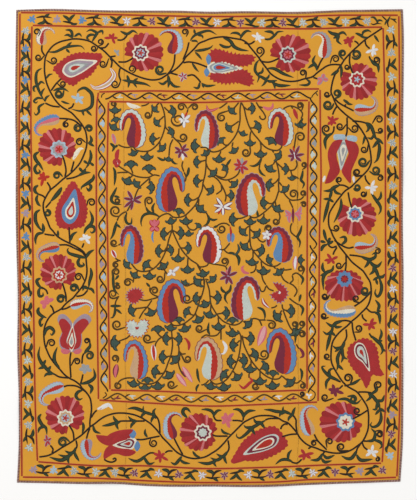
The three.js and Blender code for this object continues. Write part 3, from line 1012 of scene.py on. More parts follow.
# The flowers of the narrow border and the sprigs between them: the route along the middle of the border, 1 or
# -1 for the side that the outer edge is on, 0 where the places count across and 1 where they count down, and
# each flower's place and thread.
NARROW_BORDER = [
    (
        [(22, 19.2), (115, 20.8), (210, 22.3), (300, 22.8), (350, 21.6), (398, 21)], -1, 0,
        [(32, "blue"), (57, "lilac"), (82, "blue"), (106, "grey"), (127, "white"), (152, "wine"),
         (175, "white"), (196, "wine"), (217, "white"), (240.5, "wine"), (262, "silver"), (282.7, "wine"),
         (302.8, "silver"), (323.5, "grey"), (345.6, "silver"), (367, "grey")],
    ),
    (
        [(391, 16), (391.4, 60), (392.3, 125), (392.9, 320), (393, 390), (389.8, 463), (389.5, 474)], -1, 1,
        [(30, "silver"), (53, "grey"), (77, "silver"), (100, "grey"), (121, "silver"), (142.8, "grey"),
         (162.9, "silver"), (185.6, "grey"), (207, "silver"), (227, "grey"), (247.9, "silver"),
         (268, "wine"), (288.8, "white"), (308.9, "wine"), (331.7, "white"), (351, "wine"),
         (374.5, "white"), (395.4, "wine"), (414.9, "lilac"), (434, "wine"), (455.7, "pale blue")],
    ),
    (
        [(24, 469.4), (94, 471.7), (150, 473.4), (208, 475.2), (274, 474.2), (323, 472.2), (396, 469.8)], 1,
        0,
        [(33.5, "lilac"), (53.6, "pale blue"), (74, "grey"), (95.8, "silver"), (115, "grey"),
         (134.6, "wine"), (158.7, "white"), (178.8, "wine"), (202, "white"), (224.4, "wine"),
         (248.5, "white"), (270, "wine"), (292, "silver"), (312.8, "white"), (335, "wine"),
         (359.7, "lilac"), (382.4, "wine")],
    ),
    (
        [(25.8, 18), (25.3, 120), (26.2, 255), (28, 390), (29.8, 461)], 1, 1,
        [(31, "grey"), (49, "blue"), (64, "grey"), (80, "blue"), (98, "grey"), (118.5, "pale blue"),
         (136.7, "grey"), (155, "blue"), (173.6, "grey"), (193.7, "blue"), (213, "lilac"), (236.5, "blue"),
         (257, "grey"), (278.8, "silver"), (298.9, "grey"), (320, "silver"), (340, "grey"),
         (360.5, "silver"), (382, "grey"), (403.5, "silver"), (425, "grey"), (447.7, "silver")],
    ),
]

# A flower of the narrow border: the angles and lengths of its petals, how far each flower is turned from the
# one before it, and the threads of the petals' edges.
NARROW_TURNS = [10, 62, 128, 190, 236, 306]
NARROW_LENGTHS = [4.2, 5.2, 4, 5, 3.8, 5.1]
NARROW_ROLL = 23
NARROW_PETAL_WIDTH = 2.1
FLORET_RIMS = {"silver": "grey", "white": "lilac", "grey": "silver", "wine": "lilac"}

TWIG_WIDTH = 2.6  # a wider stroke of a sprig has a core of another thread

# The two sprigs that take turns between those flowers: the width, and places along the border and outwards.
NARROW_SPRIGS = [
    [
        (2.1, [(-8.5, 1.6), (-1, 2.9), (7.8, 1.7)]),
        (2.7, [(-0.5, 2.6), (2.5, 4.2), (5.4, 6.3)]),
        (2.5, [(-1, 2.6), (0.3, -0.6), (3, -3.6), (8.6, -5)]),
        (3.4, [(0, 0), (-1.4, -3.4), (-7.4, -4.6)]),
    ],
    [
        (2.1, [(-7, -1.6), (0, -2.6), (7.6, -4.8)]),
        (2.7, [(1, -2.6), (4, -4.4), (8.2, -3.2)]),
        (3.0, [(0, -2.4), (-1.6, 1.2), (-7, 4.6)]),
        (2.9, [(0, -2.4), (1.4, 1.8), (5.8, 5.8)]),
    ],
]

BORDER_STEMS = [
    # The long vine, from the upper right corner round to the upper left and back.
    [(382.5, 28), (375, 33), (366, 39), (358, 46), (351, 52.5), (345, 59), (341, 65), (337, 71), (334, 77),
     (332, 84), (331, 92), (333, 97), (337, 106), (345, 114), (350, 118), (355, 122), (360, 128),
     (365, 136), (368, 142), (370, 150), (371, 158), (371, 163), (369, 168), (366, 172), (362, 176),
     (356, 182), (351, 187), (345, 191), (340, 197), (334, 205), (329.5, 213), (328.5, 220), (329, 226),
     (331, 231), (333, 236), (336, 241), (339, 246), (343, 251), (347, 256), (352, 262), (358, 267),
     (363, 271), (367, 277), (370, 282), (371, 288), (371, 295), (369, 303), (366, 308), (362, 312),
     (357, 317), (352, 321), (347, 326), (342, 330), (337, 335), (333, 341), (331.5, 347), (331, 353),
     (331, 359), (332, 364), (335, 370), (338, 375), (342, 381), (347, 386), (352, 389), (357, 392),
     (361, 397), (365, 403), (367.5, 408), (368.5, 415), (368.5, 422), (368, 429), (366, 435), (364, 439),
     (362, 442), (357, 446), (352, 449.5), (346, 452), (340, 453), (334, 453), (328, 452), (322, 450.5),
     (316, 448), (310, 446), (305, 443), (300, 438), (297, 433), (293, 428), (288, 423), (283, 421),
     (278, 418), (272, 416), (265, 415.5), (258, 416), (252, 418), (246, 421), (243, 423), (238, 428),
     (234, 432), (229, 437), (224, 443), (218, 449), (212, 453), (206, 456.5), (200, 458), (194, 458.5),
     (188, 457.5), (184, 456), (178, 453), (173, 448.5), (168, 443), (163, 438), (160, 434), (156, 429),
     (151, 424), (146, 420.5), (141, 417.5), (135, 415), (128, 413.5), (121, 413), (114, 413.5), (106, 416),
     (100, 419.5), (95, 423.5), (90, 427), (86, 431), (81, 435.5), (75, 439.5), (69, 443.5), (62, 447.5),
     (55, 452), (48, 455.5), (39, 457)],
    [(90, 427), (90, 421), (91.5, 410), (91, 402), (89.5, 397), (86, 392), (82, 388), (80, 385), (75, 381),
     (70, 378.5), (65, 375), (60, 369.5), (55, 364), (50, 357), (47, 350.5), (45, 345), (44, 338),
     (44, 331), (45, 326), (47, 321), (50, 316.5), (54, 313), (61, 309), (65, 304.5), (69, 301), (73, 298),
     (78, 292), (82, 287), (85, 281), (86.5, 276), (87, 270), (86.5, 264), (86, 258), (85, 254),
     (82, 250.5), (76, 246.5), (70, 243.5), (63, 240), (57, 236), (53, 231), (50, 227.5), (47.5, 221),
     (45, 215.5), (43.5, 209.5), (43.5, 203), (46, 197), (50, 190.5), (56, 185.5), (61, 181), (64, 178.5),
     (71, 173), (76, 168), (80, 163), (83, 157), (86, 149), (87, 141), (86, 133), (84, 128), (80, 122),
     (76, 117.5), (71, 112.5), (62, 107), (56, 101), (51, 93), (47, 84), (45, 75), (44.5, 68), (45, 60),
     (46, 56), (48, 52), (53, 46), (60, 42), (68, 40), (74, 39), (82, 39.5), (90, 41.5), (97, 46),
     (104, 51), (110, 57), (115, 62), (120, 67), (123, 69), (130, 73), (138, 76.5), (146, 79), (153, 80),
     (160, 79), (166, 75.5), (176, 69), (182, 63), (186, 57), (190, 53), (195, 48), (199, 43.5), (205, 41),
     (210, 39), (217, 37.5), (224, 37), (231, 38), (237, 39), (242, 40), (247, 43), (250, 47), (255, 53),
     (259, 58), (262, 62.5), (267, 69), (271, 74), (277, 78), (283, 80.5), (290, 81.5), (297, 81),
     (304, 79), (312, 77), (317, 73), (321, 70), (326, 66.5), (330, 65), (335, 64.5), (341, 65)],
    # The short stems of the top border, from the left.
    [(42, 45), (42, 51), (45, 56)], [(45, 103), (52, 106), (60, 107)], [(62, 78), (56, 84), (51, 91)],
    [(74, 103), (72, 107), (68, 109)], [(109, 43), (105, 47.5), (100, 48)],
    [(117, 40), (122, 40), (126, 37), (127, 35)],
    [(118, 62), (125, 62), (130, 60), (134, 57)], [(110, 58), (112, 62), (111, 68)],
    [(120, 68), (119, 75), (121, 81)],
    [(110, 57), (116, 56)], [(175, 54), (174, 63), (171, 70), (167, 75)], [(170, 73), (178, 75)],
    [(187, 76), (193, 75), (198, 79), (201, 83)], [(183, 60), (187, 50), (189, 42)],
    [(183, 63), (188, 62), (193, 62.5), (199, 64), (208, 67.5)], [(244, 43), (250, 44), (255, 41)],
    [(259, 59), (262, 61.5), (270, 62), (280, 58)], [(264.5, 39), (269, 39.5), (274, 36)],
    [(323.5, 57), (320, 63), (317, 70)], [(313, 77.5), (318, 79)],
    # Those of the right border, downwards.
    [(354, 41), (357, 42.5), (358.5, 44.5)], [(365, 40), (366, 45), (370, 49)],
    [(350, 54), (349.5, 62), (351.5, 70), (354, 74.5)],
    [(335, 99), (339, 103), (346, 107), (354, 111)], [(346, 104), (344.5, 106.5)],
    [(337, 106), (334, 111), (332.5, 115)],
    [(347, 117), (347, 131), (345.5, 137)], [(354, 121), (362, 122), (368, 124)],
    [(365, 175), (366, 180), (370, 185)],
    [(348, 192), (349.5, 200), (352, 209)], [(334, 240), (341, 245), (348, 248), (354, 247)],
    [(328, 245), (332, 247.5), (337, 246)], [(337, 247), (334, 252), (333, 255)],
    [(346, 254), (346, 265), (345, 272)],
    [(349, 255), (358, 256), (366, 258)], [(370, 293), (362, 301), (354, 306.5)],
    [(352, 322), (353, 331), (356, 341)],
    [(362, 314), (363, 318), (367, 321.5)], [(366, 308), (371, 312), (376, 312)],
    [(349, 188), (344, 185.5), (339, 185)],
    [(352, 322), (346, 320.5), (340, 321)], [(341, 382), (336, 380), (331, 377)],
    [(346, 329), (346.5, 337), (343, 344)],
    [(344, 386), (350, 384.5), (355, 382)], [(343, 385), (339, 389)],
    [(368, 410), (360, 415), (351.5, 419.5)],
    [(358, 392), (366, 392), (372, 393)], [(363, 441), (369, 441), (374, 439.5)],
    [(362, 442), (364, 447), (368, 450)],
    [(361, 443), (357, 449), (356, 454)], [(314, 434), (318, 441), (327, 450)], [(325, 451), (322, 455)],
    [(355, 122), (352, 120.5)], [(334, 126), (333.5, 131), (331, 135)], [(369, 56), (370.5, 60)],
    [(369, 333), (372, 338)],
    # Those of the bottom border, from the right.
    [(312, 446), (308, 449)], [(302, 459), (297, 463), (291, 462)],
    [(297, 433), (296, 425), (296, 420), (293, 415)],
    [(288, 424.5), (285, 424), (282, 426), (280.5, 429.5)], [(297, 434), (290, 434.5), (281, 437)],
    [(279, 418.5), (270, 418.5), (265, 420)], [(243, 421.5), (238, 420.5), (232, 420.5)],
    [(243, 421), (243.5, 415)],
    [(222, 420.5), (216, 420), (213, 415)], [(211.5, 434), (216, 436), (228, 436)],
    [(228, 440), (229, 448), (227, 453)],
    [(174, 438), (178, 446), (183, 455)], [(173, 451), (168, 451), (165, 453)],
    [(155, 453), (150, 453), (145, 456)],
    [(160, 434), (159.5, 425), (158, 419), (155, 415)], [(145, 421), (138, 421), (122, 421), (118, 422)],
    [(160, 436), (150, 438), (143, 439.5), (136, 439.5)],
    [(104, 459), (107, 461), (112, 462), (116, 460), (115, 458), (112.5, 459.5)],
    [(90, 428), (88, 433), (86.5, 439)], [(91, 418), (94, 413), (97, 410)],
    [(74, 440), (73, 432), (68.5, 424)],
    [(50, 445), (53, 449), (52, 453)], [(76, 440), (77, 446), (75, 450)],
    [(86, 392), (82, 389), (76, 386), (68, 385.5), (63, 387)],
    # Those of the left border, upwards.
    [(66, 302), (66, 296), (64, 288), (62, 282)], [(54, 313), (52.5, 308), (50, 305)],
    [(61, 309.5), (66, 308.5), (71, 306)],
    [(70, 378), (60, 377), (54, 374)], [(82, 364), (82.5, 357), (84, 353)],
    [(83, 374), (82, 379), (80.5, 384)],
    [(44, 234), (50, 235), (55, 235.5)], [(70, 243), (69.5, 235), (69, 226)], [(84, 243), (82, 248)],
    [(59, 245), (67, 245), (74, 248), (82, 252), (85, 256)], [(76, 296.5), (83, 295), (88, 290)],
    [(48, 294.5), (46, 290), (41, 287)], [(59, 118.5), (68, 119), (75, 121), (82, 127)],
    [(74, 161), (72.5, 167), (71, 172)],
    [(66, 179), (74, 177.5), (80, 175)], [(65, 177), (66, 170), (64, 160), (61.5, 154)],
    [(47, 182), (50, 187), (50, 190)],
    [(38, 194), (43, 196), (46, 199)], [(51, 201.5), (45.5, 208)],
    [(71, 378), (70, 361), (71, 352)],
]

THICK_CURL = 2.0  # a wider curl has a core of another thread

# Curls of the borders: the root, the middle, the radius, 1 where it winds anticlockwise or -1, and the width.
BORDER_CURLS = [
    (38, 37, 37, 32, 3.3, 1, 1.6), (45, 55, 38.5, 57.5, 3.2, -1, 1.6), (46, 60, 53.5, 60.5, 3.5, 1, 1.6),
    (98, 47, 94, 48.5, 3, -1, 1.6), (98, 46, 100.5, 42, 3, 1, 1.6), (57, 83, 62.5, 84, 3.2, 1, 1.6),
    (64, 90, 59, 94, 4, -1, 2.4), (109, 58, 103, 64, 3.6, -1, 1.6), (121, 80, 115, 84, 4, -1, 1.6),
    (131, 73, 132, 69, 4, 1, 1.6), (167, 73, 160, 70, 4.5, -1, 2.4), (186, 37, 185, 32, 3.2, 1, 1.6),
    (259, 58, 260, 51, 4.2, 1, 1.7), (305.5, 79, 303, 73, 3.2, 1, 1.7),
    (343.5, 60, 342.5, 53.5, 3.4, -1, 2.2), (350.5, 54, 356, 54.5, 4.8, 1, 2.6),
    (330, 64, 335.5, 59, 3.8, -1, 1.6), (350, 63, 347, 67, 2.7, -1, 1.5),
    (331, 94, 327, 94.5, 2.8, -1, 1.6), (334, 99, 337, 93.5, 3.7, 1, 2.3),
    (334, 103, 328, 105, 4.6, -1, 2.5), (378.5, 66, 376.5, 60, 3, 1, 1.6),
    (323, 134, 326, 129, 3.8, -1, 1.7), (346.5, 124, 340, 126.5, 3.6, -1, 1.7),
    (347.5, 127, 354.5, 128.5, 3.9, 1, 1.7), (372, 124, 379, 119.5, 3.8, -1, 1.7),
    (375, 132.5, 380, 130.5, 2.6, 1, 1.6), (368, 144, 364, 149.5, 3.4, -1, 1.6),
    (370, 160, 363, 162, 4.6, -1, 2.4), (364, 175, 357, 172.5, 3.6, -1, 2.0),
    (369, 171, 375.5, 170.5, 4.2, 1, 2.2), (374, 175, 380, 178, 3, -1, 1.6),
    (340, 185, 339, 180, 2.9, -1, 1.6), (353.5, 186, 357, 187.5, 3.4, 1, 2.3),
    (366, 191, 363.5, 194, 2.9, -1, 1.7), (330.5, 229.5, 336, 228, 3.1, 1, 1.6),
    (345.5, 262, 339, 265.5, 3.2, -1, 1.6), (375, 247.5, 377.5, 251, 2.9, -1, 1.5),
    (371, 291, 365, 291, 4.1, -1, 2.4), (330, 294, 325, 296.5, 3.1, -1, 2.0),
    (361, 303, 356, 298.5, 3.2, -1, 1.8), (329, 317, 324, 316, 2.9, -1, 1.8),
    (330.5, 360, 327, 356.5, 2.9, -1, 1.6), (354, 332, 358.5, 328.5, 3.5, 1, 1.7),
    (375.5, 391, 378, 385, 3.6, -1, 1.8), (350, 384, 348, 378, 4.2, 1, 2.0),
    (334, 398, 325, 397.5, 3.5, -1, 1.7), (347, 396.5, 353, 399, 3.3, -1, 2.3),
    (361, 414.5, 357, 411, 3.3, -1, 1.8), (375, 431, 379.5, 434, 3.3, -1, 2.0),
    (376.5, 456, 377.5, 459, 2.2, -1, 1.5), (327, 448, 329.5, 441.5, 3.4, -1, 1.7),
    (319, 441.5, 314, 443, 2.8, 1, 1.6), (350, 450.5, 341, 447, 4, -1, 2.0),
    (151, 438.5, 153.5, 443, 4, 1, 1.6), (70, 442, 63, 442, 4.6, 1, 2.4), (300, 397, 302, 394, 2.2, 1, 1.8),
    (66.5, 300, 61, 299, 4, 1, 2.4), (46, 348, 51.5, 343, 3.8, -1, 1.7), (71, 366, 77, 361.5, 3.3, -1, 1.7),
    (90, 345, 87, 341, 2.7, 1, 1.7), (85, 352, 89.5, 355.5, 4, -1, 2.1), (44, 211, 47.5, 213, 3.4, -1, 2.1),
    (84.5, 281, 78.5, 277, 3.7, 1, 1.7), (79, 291, 74, 288, 3.8, 1, 2.4),
    (68, 119.5, 66, 124.5, 2.9, 1, 1.7), (80, 124, 78, 128, 3.9, 1, 2.3),
    (85, 129, 89, 128.5, 3.3, -1, 2.3), (86, 143, 79.5, 142, 3.5, 1, 1.7),
    (63, 177, 57, 175.5, 3.5, 1, 2.1), (87, 206, 91.5, 202.5, 3.9, -1, 1.7),
]

BORDER_ARMS = [
    # The top border, from the left.
    (2.4, [(73, 38), (71, 31), (65, 30)]), (2.2, [(73, 38), (68, 35), (64, 36)]),
    (2, [(74, 37), (79, 34), (82, 37)]), (2.4, [(92, 42), (96, 35), (97, 33), (91, 30), (86, 32)]),
    (2.2, [(96, 35), (90, 35), (87, 38), (90, 40)]), (2, [(97, 33), (102, 31), (103, 35)]),
    (2.4, [(48, 52), (55, 52), (61, 49.5), (67, 47), (80, 46), (85, 50)]), (2, [(66, 47), (72, 42)]),
    (2, [(66, 49), (70, 53)]), (2.6, [(42, 68), (37, 72), (36, 80), (38, 88), (41, 95), (45, 102)]),
    (2, [(38, 86), (41, 82), (45, 84)]), (2, [(38, 86), (34, 87), (34, 91), (36, 91)]),
    (2, [(41, 97), (42, 92), (45, 88)]), (2, [(45, 102), (46, 98), (50, 95)]),
    (2, [(43, 99), (38, 98), (34, 101), (36, 103), (38, 101)]),
    (2.2, [(45, 103), (39, 107), (39, 112), (36, 115), (34, 112)]), (1.8, [(46, 79), (49, 75), (53, 74)]),
    (2.2, [(53, 91), (58, 89), (64, 89), (69, 92)]),
    (3, [(77, 93), (79, 90), (84, 88), (88, 90), (92, 95), (92, 105), (88, 109), (80, 111), (71, 109)]),
    (2, [(82, 110), (84, 116)]), (2, [(86, 110), (92, 116)]), (1.8, [(61, 101), (66, 103), (70, 104)]),
    (2.4, [(120, 31), (127, 34), (133, 31), (138, 34)]), (2.6, [(127, 75), (129, 82), (128, 88)]),
    (2.8, [(122, 80), (133, 82), (145, 84), (151, 87)]), (2.2, [(138, 78), (134, 82), (137, 88)]),
    (2.8, [(168, 75), (169, 82), (168, 88)]), (2.2, [(168, 80), (163, 84), (158, 82)]),
    (2.4, [(169, 80), (174, 86), (181, 87)]), (2.2, [(200, 82), (198, 88), (193, 87)]),
    (2.2, [(201, 83), (207, 86), (216, 85)]), (1.8, [(202, 84), (204, 88)]),
    (2, [(192, 63), (196, 69), (199, 72)]), (2.4, [(190, 41), (194, 36), (200, 33), (209, 31), (217, 35)]),
    (2, [(195, 34), (194, 29)]), (2, [(197, 35), (202, 36), (203, 39)]),
    (1.8, [(191, 41), (196, 41), (198, 43)]), (2.4, [(194, 51), (203, 50), (210, 48), (213, 45)]),
    (2, [(195, 52), (199, 56), (202, 60)]), (2.4, [(240, 39), (243, 34), (247, 31), (252, 32)]),
    (2.2, [(241, 36.5), (238, 33.5), (233, 33), (230, 34.5)]),
    (2.2, [(265, 39), (270, 39), (275, 35), (278, 32), (284, 31.5)]),
    (2.4, [(274, 35), (271, 32), (264, 31.5)]), (2.4, [(219, 44), (224, 46.8), (229, 47), (232, 44.5)]),
    (3, [(223, 38), (230, 41), (234, 46.5), (240, 49.5), (249, 51)]),
    (2.4, [(259, 60), (256, 64), (255, 70), (257, 74), (259, 77), (257, 83)]),
    (2.2, [(257, 74), (262, 72), (263, 67)]), (2.6, [(258, 75), (263, 78), (266, 80), (264, 84),
      (261, 86.5)]), (2, [(265, 79), (268, 77.5), (269.5, 74)]),
    (2.4, [(266, 79.5), (270, 81.5), (277.5, 80.5)]), (2.2, [(271, 81), (274, 84), (275, 89.5)]),
    (2.8, [(272, 82), (279, 85.5), (291, 85.5)]), (2.8,
     [(267, 68.5), (273, 68.5), (277, 70), (284, 74), (294, 77.8)]),
    (2.2, [(306, 79), (309.5, 82), (307, 85), (298.5, 85)]),
    (2.6, [(317, 71), (316, 66), (313, 61), (315.5, 55)]), (2.4, [(316, 67), (313, 65), (307.5, 68.5)]),
    # The right border, downwards.
    (3, [(327.5, 30.5), (332, 33.5), (338, 35.5), (337.5, 41), (342, 45)]),
    (2.2, [(337, 35), (343, 32.5), (347, 36)]), (2.2, [(338, 36), (333, 38.5)]),
    (2.4, [(355, 33), (360, 35), (364, 37.5), (368.5, 37)]),
    (2.2, [(362, 36), (363.5, 32), (368, 30.5), (371.5, 32.5)]), (2, [(374, 35), (376, 38), (379, 42.5)]),
    (3, [(370, 59), (374, 63.5), (378, 66), (378.5, 73)]), (2.4, [(341, 65), (341.5, 72), (340.5, 78.5)]),
    (2.8, [(339, 70), (335, 73), (330.5, 75.5)]), (2.4,
     [(343, 99.5), (346.5, 102), (349, 104), (353, 104.5)]),
    (3, [(333, 133), (328, 136), (325, 141), (326, 150)]), (2, [(322.5, 131), (325, 134.5), (330, 135.5)]),
    (2.4, [(366, 123.5), (368.5, 127), (368, 130), (365.5, 132.5)]),
    (3, [(364, 122.5), (370, 125), (373, 131), (375, 137), (379, 142)]),
    (2.2, [(374, 134), (371.5, 138.5), (367, 137.5)]), (2.6, [(376, 138), (380, 141), (383.5, 144.5)]),
    (2.6, [(378, 140), (375, 145), (372, 148)]), (3,
     [(378, 141), (379.5, 148), (378.5, 155), (377, 160), (373.5, 163.5)]),
    (2, [(365, 135), (364, 140), (362.5, 145)]), (3, [(340, 185), (334, 187.5), (330, 190.5), (323, 191)]),
    (2.4, [(334, 188), (336, 192.5), (342, 194.5)]), (2.6, [(332, 190), (330, 197), (329, 201)]),
    (2.2, [(330, 199), (323, 199)]), (2.2, [(329, 199), (334, 202.5)]),
    (3, [(329, 199), (327, 208), (323, 223)]), (2.8, [(341, 198), (341, 207), (338, 215), (333.5, 223)]),
    (2.8, [(371, 193), (376, 200), (380, 206), (380.5, 211), (378, 215)]),
    (2.4, [(377, 201), (380.5, 197), (381, 191)]), (2.6, [(323.5, 229), (325, 236), (327, 242)]),
    (2.4, [(320, 241), (326, 242.5)]), (2.4, [(330.5, 237.5), (327, 243)]),
    (2.6, [(333.5, 241), (326, 245)]), (2.8, [(321, 251.5), (323, 246.5), (328, 244)]),
    (2.6, [(341, 245), (345.5, 241), (344.5, 237), (339, 238)]),
    (3, [(333.5, 265), (332, 270), (326, 273), (323, 279), (323.5, 290.5)]),
    (2.6, [(325, 273), (322.5, 268), (323, 262)]), (2.2, [(326, 273), (320, 276)]),
    (3, [(360, 256), (369, 259.5), (375, 257), (375, 253), (371.5, 255)]),
    (2.6, [(369, 259), (367.5, 264), (364, 268)]), (3, [(369, 260), (373, 265), (378, 266), (382, 261)]),
    (2.6, [(373, 266), (373.5, 271), (369, 275)]), (3, [(374, 266), (377, 273), (379.5, 280)]),
    (2.6, [(377, 276), (382, 277), (386, 273)]), (2.4, [(378.5, 277), (372.5, 280.5)]),
    (2.2, [(376, 279.5), (377.5, 285)]), (2.8, [(379, 277), (381.5, 286), (380.5, 293), (377.5, 296.5),
      (375, 293), (376, 288.5)]), (3, [(343, 320.5), (336, 323), (332, 326), (325.5, 322)]),
    (2.4, [(335, 323), (336, 327), (342.5, 326.5)]),
    (2.6, [(333, 325), (331.5, 331), (327, 334), (322.5, 331)]), (2.4, [(331, 332), (335.5, 336)]),
    (3, [(331, 332), (328.5, 342), (326, 351.5)]), (3,
     [(345, 340), (342, 347), (336, 348), (332.5, 345.5)]), (2.2, [(340, 348), (334.5, 352)]),
    (2.8, [(342, 345), (343, 356), (348, 359.5)]), (2.4, [(342, 350), (343, 357), (341, 363)]),
    (3, [(341, 349), (337.5, 358), (338, 365), (336.5, 371)]),
    (2.4, [(337.5, 364), (340, 367), (343.5, 370)]),
    (3, [(340, 381), (331, 377), (325, 372), (322, 367), (326, 366)]),
    (2.4, [(331, 377), (329, 372), (331, 369), (334.5, 369)]),
    (2.6, [(331, 377), (326.5, 382), (326, 389.5)]), (2.8, [(374, 312), (379, 315), (380, 324.5)]),
    (2.6, [(377, 312), (379, 305.5), (375, 299.5)]), (2, [(377, 311.5), (381.5, 311)]),
    (3, [(370, 335), (376, 340), (381, 345), (382.5, 351), (380, 355)]),
    (2.4, [(379, 341), (381.5, 334), (380.5, 328.5)]), (2, [(379, 342), (382.5, 340)]),
    (2, [(382, 349), (386, 351.5)]), (2.6, [(349, 385), (355, 382.5), (361, 378.5)]),
    (2.6, [(337, 399.5), (346, 399), (352, 402.5), (357, 403), (361.5, 399)]),
    (2.6, [(371, 394), (376.5, 390), (376, 385)]), (2.4, [(368, 392.5), (370.5, 397), (365.5, 401.5)]),
    (3, [(370, 392.5), (375, 399), (378.5, 404), (380, 411)]),
    (2.6, [(376, 400), (382, 400.5), (384.5, 394.5)]), (2.4, [(377, 402), (376, 409), (372, 409)]),
    (2.4, [(379, 408), (386.5, 412.5)]), (2.4, [(380, 409), (375, 415)]),
    (2.8, [(380.5, 410), (381, 419), (378, 425), (373, 427), (370.5, 425), (372, 421.5)]),
    (2.8, [(366, 441), (373, 440), (375, 433), (370.5, 428)]),
    (2.6, [(373, 439.5), (380, 442), (382, 446), (379, 449)]),
    (3, [(357, 450), (352, 457.5), (347, 458.5), (341, 455.5)]), (3, [(356, 454), (361, 460), (373, 459)]),
    (2.6, [(323, 454), (327, 457.8), (335, 455)]), (2.8, [(323, 453), (318, 459.5), (310, 460)]),
    (2.6, [(321, 458), (325, 462), (332, 460.5)]),
    # The bottom border, from the right.
    (2.6, [(293, 462), (287, 459.5), (281, 460), (275, 464.5)]),
    (2.4, [(288, 460), (288.5, 454), (292, 449.5)]), (2.6, [(292, 417), (293.5, 411), (295.5, 407)]),
    (2.4, [(293, 414), (289, 418), (288, 421.5)]), (2.6,
     [(292, 414.5), (286, 412), (283, 410), (283.5, 406)]), (2.4, [(286, 412), (280.5, 414), (279.5, 417)]),
    (2.8, [(286, 412), (277, 411.5), (270, 410), (263.5, 409.5)]),
    (3, [(266, 420), (257, 425), (252, 428), (246, 434), (240, 438), (236.5, 436), (237, 433)]),
    (2.6, [(262, 422), (256, 422), (253.5, 418)]), (2.6, [(260, 421), (262.5, 425), (265, 428.5)]),
    (2.6, [(255, 427), (247, 427.5), (243.5, 425)]), (2.6, [(251, 427), (253.5, 432), (255.5, 435)]),
    (2.8, [(243.5, 418), (242, 412.5), (238, 409.5), (232.5, 409.5)]),
    (2.8, [(243.5, 418), (245, 414), (249, 411), (256, 410.5)]),
    (2.6, [(214.5, 417), (212, 411.5), (207, 409.5), (201, 409.5)]),
    (2.4, [(213.5, 416), (217, 411), (222, 410)]), (2.2, [(221, 428.5), (224, 432.5), (231, 434.5)]),
    (2.8, [(228, 451), (222.5, 456.5), (216, 453.5)]), (2.4, [(224, 455), (225, 460), (227, 464)]),
    (2.8, [(225, 455), (217, 460), (210, 457.5)]), (2.4, [(218, 459), (214, 462.5), (216.5, 467)]),
    (2.8, [(217, 460), (208, 463.5), (197.5, 462)]),
    (3, [(187.5, 418), (183, 413), (184, 409), (187.5, 409), (191, 413)]),
    (2.2, [(192.5, 451), (196, 455.5), (201, 457.5)]),
    (2.8, [(182, 456), (179, 460), (175, 464), (170.5, 462)]),
    (2.4, [(179.5, 459), (184, 462.5), (190.5, 463.5)]),
    (2.8, [(147, 454.5), (140, 460), (135, 461), (128, 458)]),
    (2.6, [(143.5, 456), (147, 462), (150, 464), (155, 462)]),
    (2.6, [(156, 419), (153.5, 412), (156, 408)]), (2.4, [(155.5, 414), (152, 419), (151, 423)]),
    (2.6, [(156, 415.5), (149, 413.5), (143.5, 411), (143.5, 405.5)]),
    (2.4, [(146, 412), (142, 415.5), (142.5, 418.5)]),
    (3, [(147, 413), (138, 409), (133, 408), (127, 409)]), (2.6, [(138, 421.5), (132, 420), (128, 416)]),
    (2.6, [(136, 421), (132, 424.5), (130.5, 428.5)]), (2.6, [(121, 421), (116.5, 424), (118.5, 430)]),
    (2.6, [(119, 423), (115, 419.5), (113, 415.5)]), (2.8, [(119, 421.5), (110, 424.5), (101.5, 426)]),
    (2.2, [(147.5, 437.5), (145, 433), (145.5, 428.5)]),
    (2.8, [(83, 390), (78, 392), (76, 396), (79, 399.5), (83, 398)]),
    (2.4, [(83, 422), (83.5, 428), (82, 434)]), (2.4, [(93, 425), (95, 431), (101, 433.5)]),
    (3, [(41.5, 413.5), (39, 418), (42, 424.5), (46, 428), (47, 435)]),
    (2.4, [(45, 427), (40, 428), (38, 433)]), (2.8, [(76, 447), (74, 451.5), (70, 453), (64.5, 450.5)]),
    (2.8, [(75, 451), (67, 456.5), (58, 454.5)]), (3.2, [(73, 453), (62, 460), (49, 457)]),
    (2.6, [(74, 451), (76, 456), (79.5, 461.5)]), (2.4, [(70, 456), (68, 459), (69, 464)]),
    (2.8, [(88, 384), (92, 388), (90, 394)]),
    # The left border, upwards.
    (3, [(39.5, 307), (38, 311), (40.5, 315), (47, 318)]),
    (2.4, [(44, 316.5), (40, 321), (41, 326), (43.5, 323)]),
    (3, [(44.5, 336), (46, 330), (50, 327.5), (54, 331), (52, 335), (50, 333)]),
    (3, [(60, 368.5), (55, 362), (54.5, 355), (57.5, 346.5)]),
    (3, [(56, 375), (50, 372), (45, 367), (41, 362), (38.5, 355), (40, 346)]),
    (2.4, [(48, 371), (51, 365.5)]), (2.6, [(53, 374), (47, 374), (44, 377)]),
    (2.4, [(46, 367), (42, 367.5), (38, 369)]), (2.4, [(43, 365), (46, 359.5)]),
    (2.8, [(84, 354), (87, 350), (90, 346), (89.5, 341)]),
    (3, [(80, 384), (87, 382.5), (92, 380), (95, 376), (93.5, 368)]),
    (3, [(40.5, 209.5), (36, 213), (35.5, 220), (38, 226), (43, 232)]),
    (2.8, [(43, 233), (43.5, 228), (42.5, 223)]), (2.6, [(44, 233), (38, 234), (35.5, 239), (36, 245)]),
    (2.2, [(58, 237), (58, 230)]), (2.6, [(70.5, 241), (72.5, 235), (77.5, 231.5)]),
    (3, [(84, 234), (86, 229), (91, 224), (92.5, 218), (89.5, 210)]),
    (2.6, [(87, 227.5), (93, 226.5), (95, 230), (92, 232.8), (90, 231)]),
    (3, [(87, 258), (82, 257), (74, 255), (69, 253), (67.5, 250), (69, 247.5)]),
    (2.8, [(85, 259), (89, 253), (94.5, 249.5)]), (2.8,
     [(80.5, 257), (78, 262), (80, 266), (84, 265), (82.5, 262)]),
    (2.8, [(90.5, 267.5), (91.5, 274), (89.5, 282), (88.5, 289)]),
    (2.6, [(89, 289.5), (84.5, 287), (82.5, 291)]), (2.4, [(88, 288.5), (92, 289.5), (94.5, 294)]),
    (2.8, [(41, 278), (37, 280.5), (38.5, 285), (43, 289.5)]),
